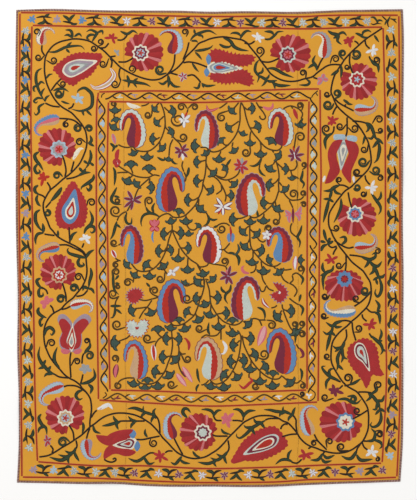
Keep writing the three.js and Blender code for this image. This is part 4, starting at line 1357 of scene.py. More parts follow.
    (2.6, [(41, 287), (38.8, 291), (39.5, 296), (43, 295.5), (43, 292)]),
    (2, [(36, 199), (38, 204), (41.5, 206.5)]), (2.6, [(88, 144), (91.5, 140.5), (90, 135)]),
    (2.4, [(88, 142.5), (94.5, 146.5)]), (2.6, [(90, 149.5), (91, 157), (88, 165), (85, 169)]),
    (2.2, [(83.5, 160.5), (88, 164)]), (2.2, [(94, 166), (89.5, 162)]),
    (2.6, [(78, 176), (84, 173), (91, 172.5)]), (2.4, [(79, 167.5), (83.5, 173)]),
    (2.4, [(83, 173.5), (86, 168)]), (3, [(39.5, 151.5), (35, 155), (36, 160), (40, 165), (43.5, 171)]),
    (2.6, [(38.5, 163), (34.8, 168), (36.5, 173), (40, 172), (38.5, 169)]),
    (2.8, [(38.5, 185), (35, 188), (35.5, 192), (40, 195)]),
    (2.4, [(38, 194.5), (36.5, 200), (40.5, 206.5)]), (3.6, [(62, 187), (59, 192), (54, 198), (50, 202)]),
    (3, [(94, 174), (93, 179), (88, 183), (82, 187), (81, 190)]),
    (2.6, [(88, 183), (91, 186.5), (89, 190.5), (86, 187)]),
]

ROSETTE_SIDES = 160
ROSETTE_PETALS = 20
PETAL_DEPTH = 1.7  # of the scallop at a petal's end
ROSETTE_NOTCH = 17  # degrees on either side of the stem
BAR_SPACING = 54  # degrees between the pink bars
BAR_HALF_ANGLE = 5.2
BARS_EACH_SIDE = 2  # of the bar across from the stem
RING_WAVE = 0.75
RING_SCALLOPS = 9
RING_SHARES = [0.76, 0.5]  # where the threads inside the ring's first one start
STAR_RADIUS = 0.3  # of the star in the ring, as a share of the ring's radius
STAR_POINT = 0.14
STAR_POINTS = 5

# The rosettes: the middle and the radius across and down, the middle of the ring and its radius, the threads
# of the ring from outside, and where the stem comes in.
ROSETTES = [
    (144, 52, 19, 19, 140.6, 53, 8, ("cream", "wine", "pale blue", "scarlet"), 134, 57),
    (290.4, 53.5, 20, 18.5, 287.7, 54.7, 8, ("silver", "wine", "pink", "scarlet"), 280, 58),
    (358.8, 81.5, 18, 18, 357, 79.5, 7.6, ("cream", "crimson", "crimson", "pale blue"), 353.5, 75),
    (357, 217, 19, 19, 355, 214, 8, ("cream", "blue", "crimson", "pink"), 352, 209),
    (344, 285.5, 19, 15.5, 344.5, 279, 7.6, ("blue", "blue", "wine", "scarlet"), 345, 272),
    (340.8, 422, 21, 20, 345.5, 422, 9, ("blue", "cream", "cream", "scarlet"), 351.5, 419.5),
    (198.5, 432, 18.5, 18.5, 202.8, 432.5, 8.3, ("cream", "wine", "silver", "silver"), 211.5, 434),
    (65, 415, 19, 19, 65.5, 418, 8, ("cream", "sand", "pale blue", "scarlet"), 68.5, 424),
    (58.3, 272, 17.5, 17.5, 59.3, 275, 8, ("sand", "scarlet", "white", "scarlet"), 63, 282),
    (57, 147, 18.5, 18.5, 59, 149.3, 8.4, ("pale blue", "grey", "pink", "scarlet"), 61.5, 154),
]

MEDALLION_SCALLOPS = 30
MEDALLION_DEPTH = 1.4
DROP_SHARES = [1.0, 0.84, 0.62, 0.46, 0.26]  # where each thread of the drop starts

# The medallions: the outline, the outline of the drop, its threads from outside and the drop's heart.
MEDALLIONS = [
    ([(102.5, 55), (92, 53), (80, 52.5), (70, 55), (62, 60), (53, 68.5), (57, 74), (62, 80), (73, 86),
      (80, 81), (90, 76), (97, 67)],
     [(97.5, 61), (88, 59.8), (77, 59.5), (66, 64), (62.5, 72), (70, 77.5), (80, 74), (90, 67.5)],
     ("cream", "lilac", "grey", "silver", "scarlet"), (74, 68)),
    ([(73, 181), (80, 190), (86, 201), (87.5, 212), (84, 226), (77, 228), (70, 230), (64, 228.5),
      (58, 226.5), (55, 214), (58, 202), (65, 190)],
     [(75, 189), (78, 200), (79, 212), (75, 221), (69, 224), (63, 219), (62, 209), (68, 199)],
     ("blue", "blue", "cream", "scarlet", "silver"), (71, 212)),
    ([(349, 346), (356, 341), (364, 338), (372, 341), (377, 348), (379, 360), (380, 368), (384, 375),
      (378, 376), (372, 375), (370, 382), (366, 388), (362, 380), (355, 372), (349, 363), (347, 354)],
     [(357, 343), (363, 344), (367, 352), (369, 362), (369.5, 371.5), (363, 363), (356, 357), (354, 349)],
     ("cream", "wine", "silver", "silver", "scarlet"), (361.5, 352)),
    ([(231, 463), (236, 452), (244, 440), (256, 431), (266, 427), (275, 426.5), (282, 433), (288, 444),
      (280, 452), (268, 458), (256, 461), (243, 461)],
     [(243, 454.5), (252, 445), (263, 437), (274, 434), (279, 438), (275, 446), (264, 451), (253, 453.5)],
     ("silver", "wine", "cream", "scarlet", "scarlet"), (267, 443.5)),
]

SHAPE_SIDES = 220

# The parts of the tulips: the outline, the threads with the share of the way out where each starts, the
# heart, and the number and depth of scallops.
TULIP_SHAPES = [
    # The tulip of the top border.
    ([(208, 58), (212, 49.5), (225, 51), (243, 55), (255, 56), (254, 62), (248, 65.5), (236, 66.5),
      (222, 62), (213, 62)], [("crimson", 1.0)], (230, 58.5), 26, -2.6),
    ([(208, 76), (213, 81), (226, 84.5), (240, 83), (250, 86), (254, 82), (252, 75), (246, 70), (236, 70.5),
      (222, 74), (213, 73)], [("crimson", 1.0)], (230, 77), 26, -2.6),
    ([(243, 68.7), (232, 64), (219, 60.5), (209, 64), (207, 68), (211, 73), (221, 74), (233, 71.5)],
     [("cream", 1.0), ("grey", 0.78), ("silver", 0.6), ("blue", 0.46), ("scarlet", 0.28)], (219, 67.5)),
    ([(208.7, 54), (211.8, 59), (208.7, 65.3), (205.7, 59)], [("blue", 1.0)], (208.7, 59.7)),
    ([(206.7, 67.7), (209.8, 72), (206.7, 76.9), (203.8, 72)], [("blue", 1.0)], (206.7, 72.3)),
    # The tulip of the right border.
    ([(343, 139.5), (334, 141), (328.5, 149), (327.5, 157), (329, 165), (330, 172), (329, 179),
      (324.5, 183.7), (331, 182.5), (337, 176.5), (340, 170), (337, 158), (337, 148)], [("crimson", 1.0)],
     (333, 160)),
    ([(344, 139.5), (355, 142), (359, 149), (357.5, 157), (354, 165), (351, 173), (350.7, 183.4),
      (345.5, 178.5), (341.5, 171), (344.5, 163), (349, 152), (349, 144)], [("crimson", 1.0)], (351, 160)),
    ([(343, 139.7), (348, 142.5), (348.7, 149), (346, 158), (341, 170.5), (338.5, 160), (337, 150),
      (339, 143)],
     [("silver", 1.0), ("grey", 0.78), ("cream", 0.56), ("grey", 0.28)], (343.3, 150.5)),
    ([(333.7, 135), (339, 134), (345.3, 135), (345, 140), (339, 140), (334, 139.8)], [("pale blue", 1.0)],
     (339.5, 137)),
    ([(346.8, 136), (352, 135.3), (357, 137), (356.5, 141.5), (351, 141.7), (347, 140)],
     [("pale blue", 1.0)], (352, 138.5)),
    # The tulip of the left border.
    ([(71, 352), (64, 350.5), (60, 347), (59, 340), (61.5, 333), (63.5, 327), (62, 323), (57.5, 320.5),
      (59, 315), (64, 314), (69, 318), (72.5, 324), (70, 332), (67, 342)],
     [("lilac", 1.0), ("crimson", 0.8)], (64.5, 338)),
    ([(72, 352), (79, 350), (82, 343), (82, 335), (81, 328), (82, 323), (88, 324), (91.5, 321), (90, 316),
      (85, 313.7), (79, 316.5), (73, 323.5), (74.5, 333), (76, 343)], [("lilac", 1.0), ("crimson", 0.8)],
     (78, 338)),
    ([(73, 323), (75, 332), (76.5, 343), (71.5, 352), (66, 343), (69.5, 332)],
     [("cream", 1.0), ("scarlet", 0.74), ("cream", 0.5), ("grey", 0.3)], (71.5, 342)),
    ([(60.8, 349.5), (66, 347.8), (71, 350), (68, 354), (62.5, 353.5)], [("pink", 1.0)], (66, 351)),
    ([(72.8, 350), (77, 348), (82.2, 349.5), (80, 353.5), (75, 354)], [("pink", 1.0)], (77.5, 351)),
    # The tulip of the bottom border.
    ([(134, 430), (126, 429.3), (118, 430.5), (111, 433), (105, 436.5), (96.3, 434.4), (98, 440),
      (104, 444.5), (111, 445.7), (120, 442), (130, 438.5)], [("crimson", 1.0)], (116, 437)),
    ([(136, 452), (131, 455.7), (124, 456), (117, 454), (111, 455), (104.4, 459.3), (103.5, 454),
      (106, 448), (111, 445.3), (120, 448), (130, 449)], [("crimson", 1.0)], (118, 450.5)),
    ([(137, 441), (131, 437), (123, 440), (112.5, 445), (122, 448.5), (132, 449.5)],
     [("cream", 1.0), ("wine", 0.72), ("silver", 0.5), ("scarlet", 0.28)], (128, 443.5)),
    ([(132, 428.8), (136.5, 433.5), (133, 439), (128, 433.8)], [("blue", 1.0)], (132, 433.8)),
    ([(137.5, 440.5), (140.5, 446), (137, 451.5), (133.8, 446)], [("blue", 1.0)], (137, 446)),
]

POD_RIM = "lilac"

# Pods of the borders: the foot, the length, the width, the angle of the axis, 1 where the tip curls to the
# left of it or -1, and the threads from the outer edge inwards.
PODS = [
    (42, 45, 18, 14, 70, -1, ("cream", "crimson", "sand")),
    (323, 58, 25.5, 17, 96, 1, ("grey", "scarlet", "cream")),
    (354.5, 109, 23, 15, 12, 1, ("sand", "scarlet", "pale blue")),
    (354.5, 247, 23, 15, 14, 1, ("sand", "scarlet", "pale blue")),
    (355.5, 309.5, 31, 15, 178, -1, ("blue", "cream", "sand")),
    (311, 435, 29, 17, 97, -1, ("pale blue", "scarlet", "sand")),
    (70.5, 306.5, 22, 12, 3, -1, ("cream", "scarlet", "pale blue")),
    (59.5, 247, 24, 13, 202, 1, ("sand", "scarlet", "blue")),
    (59.5, 119, 27, 14, 204, 1, ("blue", "pink", "sand")),
    (173, 439, 26, 17, 92, -1, ("pale blue", "scarlet", "wine")),
    (87, 439, 21, 16, -72, 1, ("pale blue", "scarlet", "lilac")),
    (64, 386, 28, 15, 210, 1, ("pale blue", "scarlet", "pale blue")),
    (173, 54, 24, 20, 96, 1, ("pale blue", "scarlet", "wine")),
]

# Small flowers of the borders: the middle, the ends of the petals, the threads and the petals' width.
BORDER_FLORETS = [
    (112, 38, [(104, 38), (109, 34), (114, 33), (118, 38), (115, 44)], ("crimson",), 2.6),
    (117, 53, [(114, 49.5), (119, 50), (119, 56)], ("grey",), 2.4),
    (78, 99, [(71, 96), (78, 93), (84, 97), (83, 104), (76, 103)], ("pale blue",), 2.8),
    (183, 77, [(178, 75), (182, 72), (187, 74), (187, 79), (181, 82)], ("pale blue", "crimson"), 2.8),
    (258, 37.5, [(251.5, 35), (257, 32), (261, 35), (265, 38), (261, 43), (255.5, 40.5)], ("white",), 2.4),
    (322.5, 79, [(324, 73.5), (328.5, 80), (317.5, 85), (317, 79)], ("lilac", "pink"), 4.2),
    (349, 40.5, [(354.5, 36), (347, 36.5), (343, 40.5), (344, 44), (350.5, 48), (353, 42)], ("crimson",),
     3),
    (372.5, 50, [(374.5, 44), (378.5, 49.5), (365.5, 53), (372.5, 57), (376, 55)], ("white",), 2.6),
    (331.5, 121, [(327.5, 116), (333, 115.5), (339, 118), (336.5, 124), (327.5, 125), (331.5, 126)],
     ("crimson",), 2.6),
    (371, 188, [(374.5, 180), (378, 186.5), (376, 191), (372.5, 195.5), (364.5, 187.5)], ("white",), 2.8),
    (331.5, 259.5, [(327, 253.5), (338, 256.5), (334.5, 264), (327, 264), (324, 260.5)], ("crimson",), 2.8),
    (370, 324.5, [(373.5, 318), (362.5, 324.5), (369, 330.5), (375, 329), (377, 322.5)], ("crimson",), 3),
    (334.5, 390.5, [(328, 389), (332.5, 384), (330.5, 394), (336, 397), (344, 393.5), (339.5, 388)],
     ("wine",), 3.2),
    (371.5, 452, [(373, 444.5), (378.5, 451.5), (365.5, 456), (376, 457), (367, 450)], ("white",), 2.8),
    (309, 396, [(306, 393.5), (312, 394), (309, 399)], ("white",), 2),
    (45.5, 301.5, [(47.5, 295.5), (54, 299), (43.5, 309), (40, 303), (49.5, 303.5)], ("pink",), 4),
    (85.5, 368.5, [(79, 369.5), (82, 364), (89, 365), (92, 371), (84, 374)], ("grey",), 3.8),
    (85.5, 238.5, [(78.5, 239.5), (83, 234), (87.5, 234.5), (91, 237), (90, 244)], ("white",), 2.8),
    (43.5, 177.5, [(39.5, 173.5), (43.5, 171.5), (50, 176.5), (46, 181), (41, 186.5), (37.5, 179)],
     ("scarlet",), 3),
    (305, 454.5, [(301, 449), (314, 453), (311, 458.5), (303, 460.5), (298, 457)], ("crimson",), 3),
    (226.5, 419, [(225, 412.5), (234, 413), (229.5, 428), (221, 417), (222, 424), (232, 420.5)], ("pink",),
     3.6),
    (160.5, 456, [(158.5, 449.5), (153, 453), (154.5, 459.5), (160, 463), (168.5, 460.5), (165, 453)],
     ("crimson",), 2.8),
    (47.5, 440.5, [(46, 434.5), (51.5, 438), (43.5, 439.5), (45.5, 447), (50, 445)], ("lilac", "crimson"),
     3.2),
]

# Petals, buds and bars of the borders: the threads from the edge inwards, the width and the line.
BORDER_PETALS = [
    (("black",), 1.7, [(370.5, 23.5), (373.5, 24.6), (377, 23.6), (381.5, 24)]),
    (("black", "teal"), 2.4, [(370.3, 17.5), (373.6, 17.4), (376.4, 20.4), (377.2, 23.8)]),
    (("black", "teal"), 2.4, [(377.2, 23.8), (378, 20.8), (380.6, 20.4), (383, 21.6)]),
    (("black",), 1.7, [(381.5, 15.8), (384, 18), (386.6, 20.6), (387.5, 22.5)]),
    (("black", "teal"), 2.2, [(384.6, 25.4), (386, 22), (388.2, 19.8), (390.6, 15.6)]),
    (("black",), 1.7, [(389.6, 18.8), (387.6, 22.4), (388, 25.6), (389.8, 28.2)]),
    (("black",), 1.7, [(389.6, 18.8), (393, 19.6), (397, 23.5)]),
    (("black", "teal"), 1.7, [(392.5, 19.6), (396.6, 19.3)]),
    (("white",), 3, [(325, 175.5), (323, 182.5)]),
    (("white",), 3, [(353.5, 176), (354, 183)]),
    (("white",), 4.6, [(97, 409), (101, 408), (105, 406), (109, 405), (113, 409.5)]),
    (("crimson",), 1.6, [(99, 409.5), (103, 407.5)]),
    (("cream",), 4.6, [(73, 160), (76, 154), (80, 149), (84, 149)]),
    (("scarlet",), 1.6, [(73.5, 158.5), (76, 155.5)]),
    (("crimson", "white", "sand"), 7, [(110, 68), (114, 75), (110, 82), (103, 86.5), (95, 88), (90, 84)]),
]


# The field's thick dark arms, its small flowers and its buds, as in the borders.
FIELD_ARMS = [
    (2.4, [(110, 143), (114, 147), (112, 152)]), (2, [(118, 145), (114, 148)]),
    (2.4, [(113, 167), (115, 172), (115, 180), (114, 186)]), (2, [(157, 157), (163, 160), (169, 157)]),
    (2, [(170, 158), (174, 163), (178, 164)]), (2.4, [(189, 167), (188, 173), (186, 178)]),
    (2, [(231, 159), (227, 165), (225, 170)]), (2.4, [(262, 157), (259, 163), (254, 166), (249, 165.5)]),
    (2, [(259, 168), (261, 173), (266, 176.5)]), (2.4, [(303, 118), (300, 124), (303, 130)]),
    (2.4, [(303, 170), (302, 176), (301, 180), (304, 184), (302, 189)]),
    (2.6, [(117, 187), (114, 193), (111.5, 198), (112, 201.5), (116, 204), (122, 204.5)]),
    (2, [(114, 196), (120, 197.5)]), (2.6, [(117, 221), (115, 228), (113, 235), (110, 240)]),
    (2, [(116, 224), (121, 228)]), (2.2, [(127, 212), (125.5, 218), (127, 223), (131, 223.5), (132, 217)]),
    (2.4, [(160, 217), (154, 214), (148, 213.5), (143, 216), (141, 222), (142, 227)]),
    (2.2, [(153, 214), (148, 211), (145.5, 206)]), (2.2, [(154, 213.5), (152.5, 208), (155, 202.5)]),
    (2.4, [(207, 214), (209, 219), (207, 224), (203, 226)]), (2, [(209, 218), (213, 220), (218, 219)]),
    (2, [(218, 226), (213, 227.5)]), (2, [(228, 253), (235, 253)]),
    (2.8, [(235, 253.6), (238.8, 258.4), (238.5, 266)]), (2, [(258, 217), (257, 210)]),
    (2.4, [(302, 225), (300, 232), (297.5, 237), (300, 242), (299, 248)]), (2, [(150, 287), (146, 282.5)]),
    (2.4, [(113, 272), (114, 288), (119, 295)]), (2, [(119, 275), (115, 280)]),
    (2, [(115, 283), (120, 284)]), (2.4, [(110, 306), (122, 306)]), (2, [(116, 309), (122, 314)]),
    (2.2, [(115, 306), (115, 312), (113, 317), (110, 318)]), (2.2, [(210, 335), (208, 330), (209, 322)]),
    (2.2, [(226, 293), (222, 290), (221, 286)]), (2.4,
     [(231, 284), (230, 290), (226, 294), (225, 299), (228, 304)]),
    (2.2, [(257, 307), (263, 310), (265, 316), (264, 320)]), (2.4, [(297, 323), (296, 332), (295, 344)]),
    (2.2, [(299, 274), (303, 279), (301, 285)]), (2, [(301, 294), (299, 302)]),
    (2.2, [(299, 304), (303, 309), (301, 316)]), (2.2, [(300, 368), (302, 373), (301, 381)]),
    (2.2, [(197, 368), (198, 377), (200, 383)]), (2, [(199, 384), (196.5, 388), (196.5, 392)]),
]
FIELD_FLORETS = [
    (184, 120, [(182, 113), (178.5, 119), (180.5, 123), (190.5, 115), (189.5, 122), (184, 128)],
     ("lilac", "white", "white"), 3.4),
    (181, 151, [(174.5, 147), (174.5, 153), (178.5, 158.5), (186.5, 144), (189.5, 149), (187.5, 157.5)],
     ("lilac", "wine", "wine"), 3.2),
    (241, 166, [(237, 158.5), (233.5, 164), (234.5, 170.5), (247.5, 160.5), (248.5, 170), (243, 174.5)],
     ("lilac", "crimson", "crimson"), 3.6),
    (294.5, 156, [(289.5, 148.5), (287.5, 156), (290.5, 161.5), (299.5, 145.5), (304.5, 154),
      (301.5, 161.5)], ("lilac", "wine", "wine"), 3.4),
    (133, 200, [(127.5, 190.5), (123.5, 198), (124, 207.5), (142.5, 195.5), (141.5, 203), (131, 210.5)],
     ("lilac", "wine", "wine"), 3.4),
    (223, 207, [(216.5, 197.5), (213.5, 205), (214.5, 212.5), (232.5, 202.5), (231.5, 209), (223, 215.5)],
     ("wine", "white"), 4),
    (172.5, 272, [(167, 275.5), (179.5, 266.5), (169, 270), (175, 276)], ("lilac", "white", "white"), 3.6),
    (228, 276, [(220.5, 271.5), (219.5, 279.5), (230.5, 265.5), (237.5, 272), (226, 284.5), (232.5, 284.5)],
     ("lilac", "wine", "wine"), 3.6),
    (267, 235, [(262, 233), (267, 230), (272, 234), (269, 240), (263, 239)], ("lilac", "white", "white"),
     3.4),
    (154.5, 227, [(150, 220), (159, 220), (154.5, 219), (150, 231), (159, 231)], ("crimson", "pink"), 5),
]
FIELD_PETALS = [
    (("cream",), 4.6, [(126.5, 102.5), (132, 106), (141, 107.5)]),
    (("scarlet",), 2, [(135.6, 107.2), (138, 107.2)]),
    (("white",), 2, [(154.5, 222.5), (154.5, 228.5)]),
    (("blue",), 2.2, [(153.5, 231), (152.2, 237), (153.6, 243)]),
    (("crimson", "pink"), 3, [(206.5, 105), (208, 109.5), (212, 110.5), (219.5, 107.5)]),
    (("scarlet",), 2.2, [(187.5, 111.5), (184, 119)]), (("scarlet",), 2.2, [(181, 146.5), (183, 152)]),
    (("white",), 3.4, [(183, 153), (183, 160.5)]), (("lilac", "pink"), 4.4,
     [(112.5, 133.5), (115.5, 144.5)]),
    (("crimson",), 4.6, [(119, 149), (117, 154), (116.6, 163)]),
    (("crimson",), 8, [(112.4, 162), (121.2, 162)]),
    (("crimson",), 6, [(114.2, 164.5), (120, 165.5)]), (("white",), 2, [(116.4, 159.5), (118.2, 165)]),
    (("grey",), 3.4, [(242, 157.5), (242, 165)]),
    (("pink",), 3.6, [(262.5, 106.5), (268, 109), (272, 107.5), (273, 102.5)]),
    (("crimson",), 4, [(293.5, 108.5), (297.5, 119.5)]),
    (("white",), 3.4, [(293.5, 152), (295.5, 159)]), (("scarlet",), 2, [(293, 146), (294.5, 153)]),
    (("white", "crimson"), 5, [(112, 250), (116, 258)]),
    (("scarlet",), 2.4, [(218, 214.5), (222.5, 206.5)]),
    (("lilac", "blue", "blue"), 5, [(228.8, 233), (229, 242.6)]),
    (("lilac", "blue", "blue"), 5, [(232.8, 233), (232.4, 242.6)]),
    (("crimson",), 2.6, [(230, 226), (231, 233), (230.6, 241.5)]),
    (("black", "ivy"), 3, [(237.6, 243.5), (239, 249.5), (235.6, 254.4), (230.6, 253.4)]),
    (("pink",), 3.4, [(249.5, 273.5), (244, 272), (242, 268), (244.5, 265.5)]),
    (("pink",), 2, [(226, 269.5), (227.5, 275)]),
    (("lilac", "pink"), 4.6, [(291.5, 214.5), (288, 213), (285, 210)]),
    (("lilac", "pink"), 4.4, [(291.5, 214), (289, 217.5), (289.6, 223)]),
    (("lilac", "pink"), 4.6, [(294.5, 214), (299, 212), (301, 206)]),
    (("lilac", "pink"), 4.4, [(294.5, 213.5), (299, 216.5), (299, 221.5)]),
    (("lilac", "pink"), 3.4, [(290.5, 214.5), (285, 216)]),
    (("lilac", "pink"), 3.4, [(296, 213.5), (302.5, 213.6)]),
    (("wine",), 3, [(293, 207.5), (293, 223.5)]), (("pink", "white"), 5.5,
     [(296, 256), (295, 263), (295, 270)]),
    (("white", "scarlet"), 6, [(153, 344.5), (154.5, 361)]),
    (("crimson",), 3.4, [(188.5, 350.5), (189, 344), (186, 339), (183.5, 338)]),
    (("white",), 3.6, [(222.5, 340.5), (226, 347), (224, 353), (220.5, 354)]),
    (("crimson", "crimson", "white"), 4.2, [(262.4, 298), (263.6, 302.5), (266.8, 306), (269.6, 308)]),
    (("pink", "rose"), 9, [(265, 326), (262, 336), (258, 346)]),
    (("wine",), 3.4, [(299, 347.5), (302.5, 352), (303, 356), (299.5, 358)]),
    (("crimson",), 3.4, [(249, 377), (252, 380.5), (249, 383.5), (246, 386.5), (243, 388), (238.5, 384)]),
    (("wine", "pink"), 6.5, [(117, 364), (115.5, 372), (115.5, 378)]),
    (("pink", "rose"), 6, [(182.5, 366.5), (192.5, 382.5)]),
    (("pink", "rose"), 6, [(176.5, 373.5), (186.5, 386.5)]),
    (("wine",), 2.4, [(181, 370.5), (185.5, 377.5)]),
]

# The fringed flowers of the field: the outline, its threads, the heart, and the number and depth of points.
FIELD_FANS = [
    # The carnation by the right seam.
    ([(273.5, 282), (279, 282.5), (284, 285), (288, 290.5), (288, 296), (284.5, 301), (279.5, 304),
      (274, 300.5), (269.5, 295), (276, 292), (277.5, 287)],
     [("lilac", 1.0), ("crimson", 0.9), ("white", 0.14)], (279.5, 292.5), 18, -2.2),
    ([(127, 291.5), (131, 288.5), (136, 287.5), (141, 289), (144, 294), (142.5, 298.5), (138.5, 302),
      (133.5, 304.5), (128.5, 302.5), (125.8, 297)], [("lilac", 1.0), ("crimson", 0.9)], (137, 296.5), 17,
     -2.6),
    ([(126, 322), (133, 319.5), (137.5, 323.5), (143, 319), (149, 321), (148, 330), (143, 336.5),
      (137, 338), (130, 336), (126.5, 330)], [("crimson", 1.0), ("silver", 0.9), ("scarlet", 0.16)],
     (137, 328), 19, -2.4),
]


# Sub-parts of the needlework

def loft(work, lines, threads):
    """A patch between lines that run side by side, with a thread for each gap between two of them."""
    length = sum((b - a).length for a, b in zip(lines[0], lines[0][1:]))
    count = max(2, math.ceil(length / FINE_STATION))
    sampled = [evenly(smooth(line, FINE_STATION), count) for line in lines]
    outer, inner = sampled[0], sampled[-1]
    rolled_outer = [a.lerp(b, ROLLED_EDGE) for a, b in zip(outer, sampled[1])]
    rolled_inner = [a.lerp(b, ROLLED_EDGE) for a, b in zip(inner, sampled[-2])]
    across = [outer, rolled_outer, *sampled[1:-1], rolled_inner, inner]
    columns = [threads[0], *threads, threads[-1]]
    rows = []
    for i in range(count + 1):
        row = []
        reach = 0.0
        for k, line in enumerate(across):
            if k:
                reach += (line[i] - across[k - 1][i]).length
            low = k in (0, len(across) - 1) or i in (0, count)
            raised = -SUNK if low else THREAD_HEIGHT + CROWN_HEIGHT / 2
            row.append(work.point(line[i], raised, i * FINE_STATION, reach))
        rows.append(row)
    work.skin(rows, lambda r, c: columns[c])


def evenly(line, count):
    """A line's points spread evenly along it."""
    lengths = [0.0]
    for start, end in zip(line, line[1:]):
        lengths.append(lengths[-1] + (end - start).length)
    spread = []
    k = 0
    for i in range(count + 1):
        target = lengths[-1] * i / count
        while k < len(line) - 2 and lengths[k + 1] < target:
            k += 1
        spread.append(line[k].lerp(line[k + 1], (target - lengths[k]) / (lengths[k + 1] - lengths[k])))
    return spread


def paisley(work, x, y, height, width, side, threads):
    """A paisley that stands upright on its foot."""
    rim = "lilac" if threads[0] == "wine" else "wine"
    upright = 90
    turned_paisley(work, x, y, height, width, upright, side, (rim, *threads), PAISLEY_LINES)


def paisley_scallops(line, side, beyond, depth=SCALLOP_DEPTH):
    """One of a paisley's lines with its scallops, or a line that runs some way beyond it."""
    outer = evenly(smooth(line), PAISLEY_SCALLOPS * PLACES_TO_A_SCALLOP)
    edge = []
    for i, spot in enumerate(outer):
        ahead = (outer[min(i + 1, len(outer) - 1)] - outer[max(i - 1, 0)]).normalized()
        outwards = Vector((-ahead.y, ahead.x)) * side
        swell = abs(math.sin(math.pi * i / PLACES_TO_A_SCALLOP))
        fading = math.sqrt(math.sin(math.pi * i / (len(outer) - 1)))
        edge.append(spot + outwards * (depth * swell * fading + beyond))
    return edge


def ivy_leaf(work, x, y, degrees, size):
    """An ivy leaf with a dark rim."""
    outline = smooth(IVY_OUTLINE, IVY_STATION)

    def reach(angle):
        turned = abs((angle - degrees + 180) % 360 - 180)
        for start, end in zip(outline, outline[1:]):
            if turned <= end.x:
                return size * start.lerp(end, (turned - start.x) / max(1e-6, end.x - start.x)).y
        return size * outline[-1].y

    work.patch((x, y), reach, [("black", 1.0), ("ivy", IVY_RIM)], IVY_SIDES)
    ahead, aside = toward(degrees) * size, toward(degrees + 90) * size
    for hand in (1, -1):
        arm = [Vector((x, y)) + ahead * u + aside * v * hand for u, v in IVY_ARM]
        petal(work, ("black", "ivy"), IVY_ARM_WIDTH * size, arm, ARM_WIDEST)


def curl_line(root_x, root_y, x, y, radius, side):
    """A curl's line: from its root straight on to a spiral that winds in to its middle."""
    root, middle = Vector((root_x, root_y)), Vector((x, y))
    gap = root - middle
    facing = math.degrees(math.atan2(-gap.y, gap.x))
    offset = math.degrees(math.acos(min(1.0, radius / max(gap.length, radius))))
    start = facing + side * offset
    spiral = []
    for k in range(CURL_STEPS + 1):
        share = k / CURL_STEPS
        out = toward(start + side * 360 * CURL_TURNS * share)
        spiral.append(middle + out * radius * (1 - CURL_DRAWN_IN * share))
    return [root, *spiral] if gap.length > CURL_ROOT_REACH * radius else spiral


def make_field_vine(cloth_face, finishes):
    work = Needlework(cloth_face)
    for route in FIELD_STEMS:
        work.strip(smooth(route), [("olive", even(STEM_WIDTH))])
    for curl in FIELD_CURLS:
        line = smooth(curl_line(*curl), FINE_STATION)
        work.strip(line, [("olive", belly(STEM_WIDTH * FIELD_CURL_FULLNESS, **CURL_FORM))])
    return work.finish("field_vine", finishes)


def make_field_leaves(cloth_face, finishes):
    work = Needlework(cloth_face)
    for leaf in FIELD_LEAVES:
        ivy_leaf(work, *leaf)
    return work.finish("field_leaves", finishes)


def make_field_flowers(cloth_face, finishes):
    work = Needlework(cloth_face)
    for width, points in FIELD_ARMS:
        petal(work, ("black", "teal"), width * ARM_FULLNESS, points, ARM_WIDEST)
    for row in FIELD_FANS:
        shape(work, *row)
    for row in FIELD_FLORETS:
        floret(work, *row)
    for row in FIELD_PETALS:
        petal(work, *row)
    return work.finish("field_flowers", finishes)


def make_paisleys(cloth_face, finishes):
    work = Needlework(cloth_face)
    for row in PAISLEYS:
        paisley(work, *row)
    return work.finish("field_paisleys", finishes)


def rays(outline, heart, count):
    """The places where rays from the heart leave a closed outline, one after the other."""
    heart = Vector(heart)
    edges = list(zip(outline, outline[1:] + outline[:1]))
    places = []
    for k in range(count):
        away = toward(360 * k / count)
        farthest = 0.0
        for start, end in edges:
            a, b = start - heart, end - heart
            low, high = a.x * away.y - a.y * away.x, b.x * away.y - b.y * away.x
            if low * high > 0 or low == high:
                continue
            farthest = max(farthest, a.lerp(b, low / (low - high)).dot(away))
        places.append(heart + away * farthest)
    return places


def closed(points, station=STATION):
    """A smooth closed line through some places of the chart."""
    places = [Vector(point) for point in points]
    whole = smooth([places[-1], *places, places[0], places[1]], station)
    start = min(range(len(whole)), key=lambda i: (whole[i] - places[0]).length)
    end = min(range(start + 2, len(whole)), key=lambda i: (whole[i] - places[0]).length)
    return whole[start:end]


def scalloped(outline, count, depth):
    """A closed line with a row of scallops along it, or of points where the depth is below 0."""
    spread = evenly(outline + outline[:1], count * PLACES_TO_A_POINT)
    heart = sum(spread, Vector((0, 0))) / len(spread)
    row = []
    for i, spot in enumerate(spread[:-1]):
        ahead = (spread[i + 1] - spread[i - 1 if i else -2]).normalized()
        outwards = Vector((ahead.y, -ahead.x))
        if outwards.dot(spot - heart) < 0:
            outwards.negate()
        row.append(spot + outwards * depth * (abs(math.sin(math.pi * i / PLACES_TO_A_POINT)) - 0.5))
    return row


def nest(work, curves, threads, heart):
    """Closed curves inside one another, all with the same number of places, with a thread for each gap and
    one inside the last curve. A thread may be a function of the share of the way round."""
    count = len(curves[0])
    middle = [Vector(heart)] * count
    inner = curves[1] if len(curves) > 1 else middle
    rolled = [
        a.lerp(b, min(MOST_ROLLED, ROLL_WIDTH / max(ROLL_WIDTH, (b - a).length)))
        for a, b in zip(curves[0], inner)
    ]
    rounds = [curves[0], rolled, *curves[1:], middle]
    columns = [threads[0], *threads]
    rows = []
    for r, places in enumerate(rounds):
        raised = -SUNK if r == 0 else THREAD_HEIGHT + CROWN_HEIGHT * r / len(rounds)
        row = [
            work.point(spot, raised, (spot - middle[0]).length, k * STATION) for k, spot in enumerate(places)
        ]
        rows.append([*row, row[0]])

    def thread_at(r, c):
        thread = columns[r]
        return thread((c + 0.5) / count) if callable(thread) else thread

    work.skin(rows, thread_at)


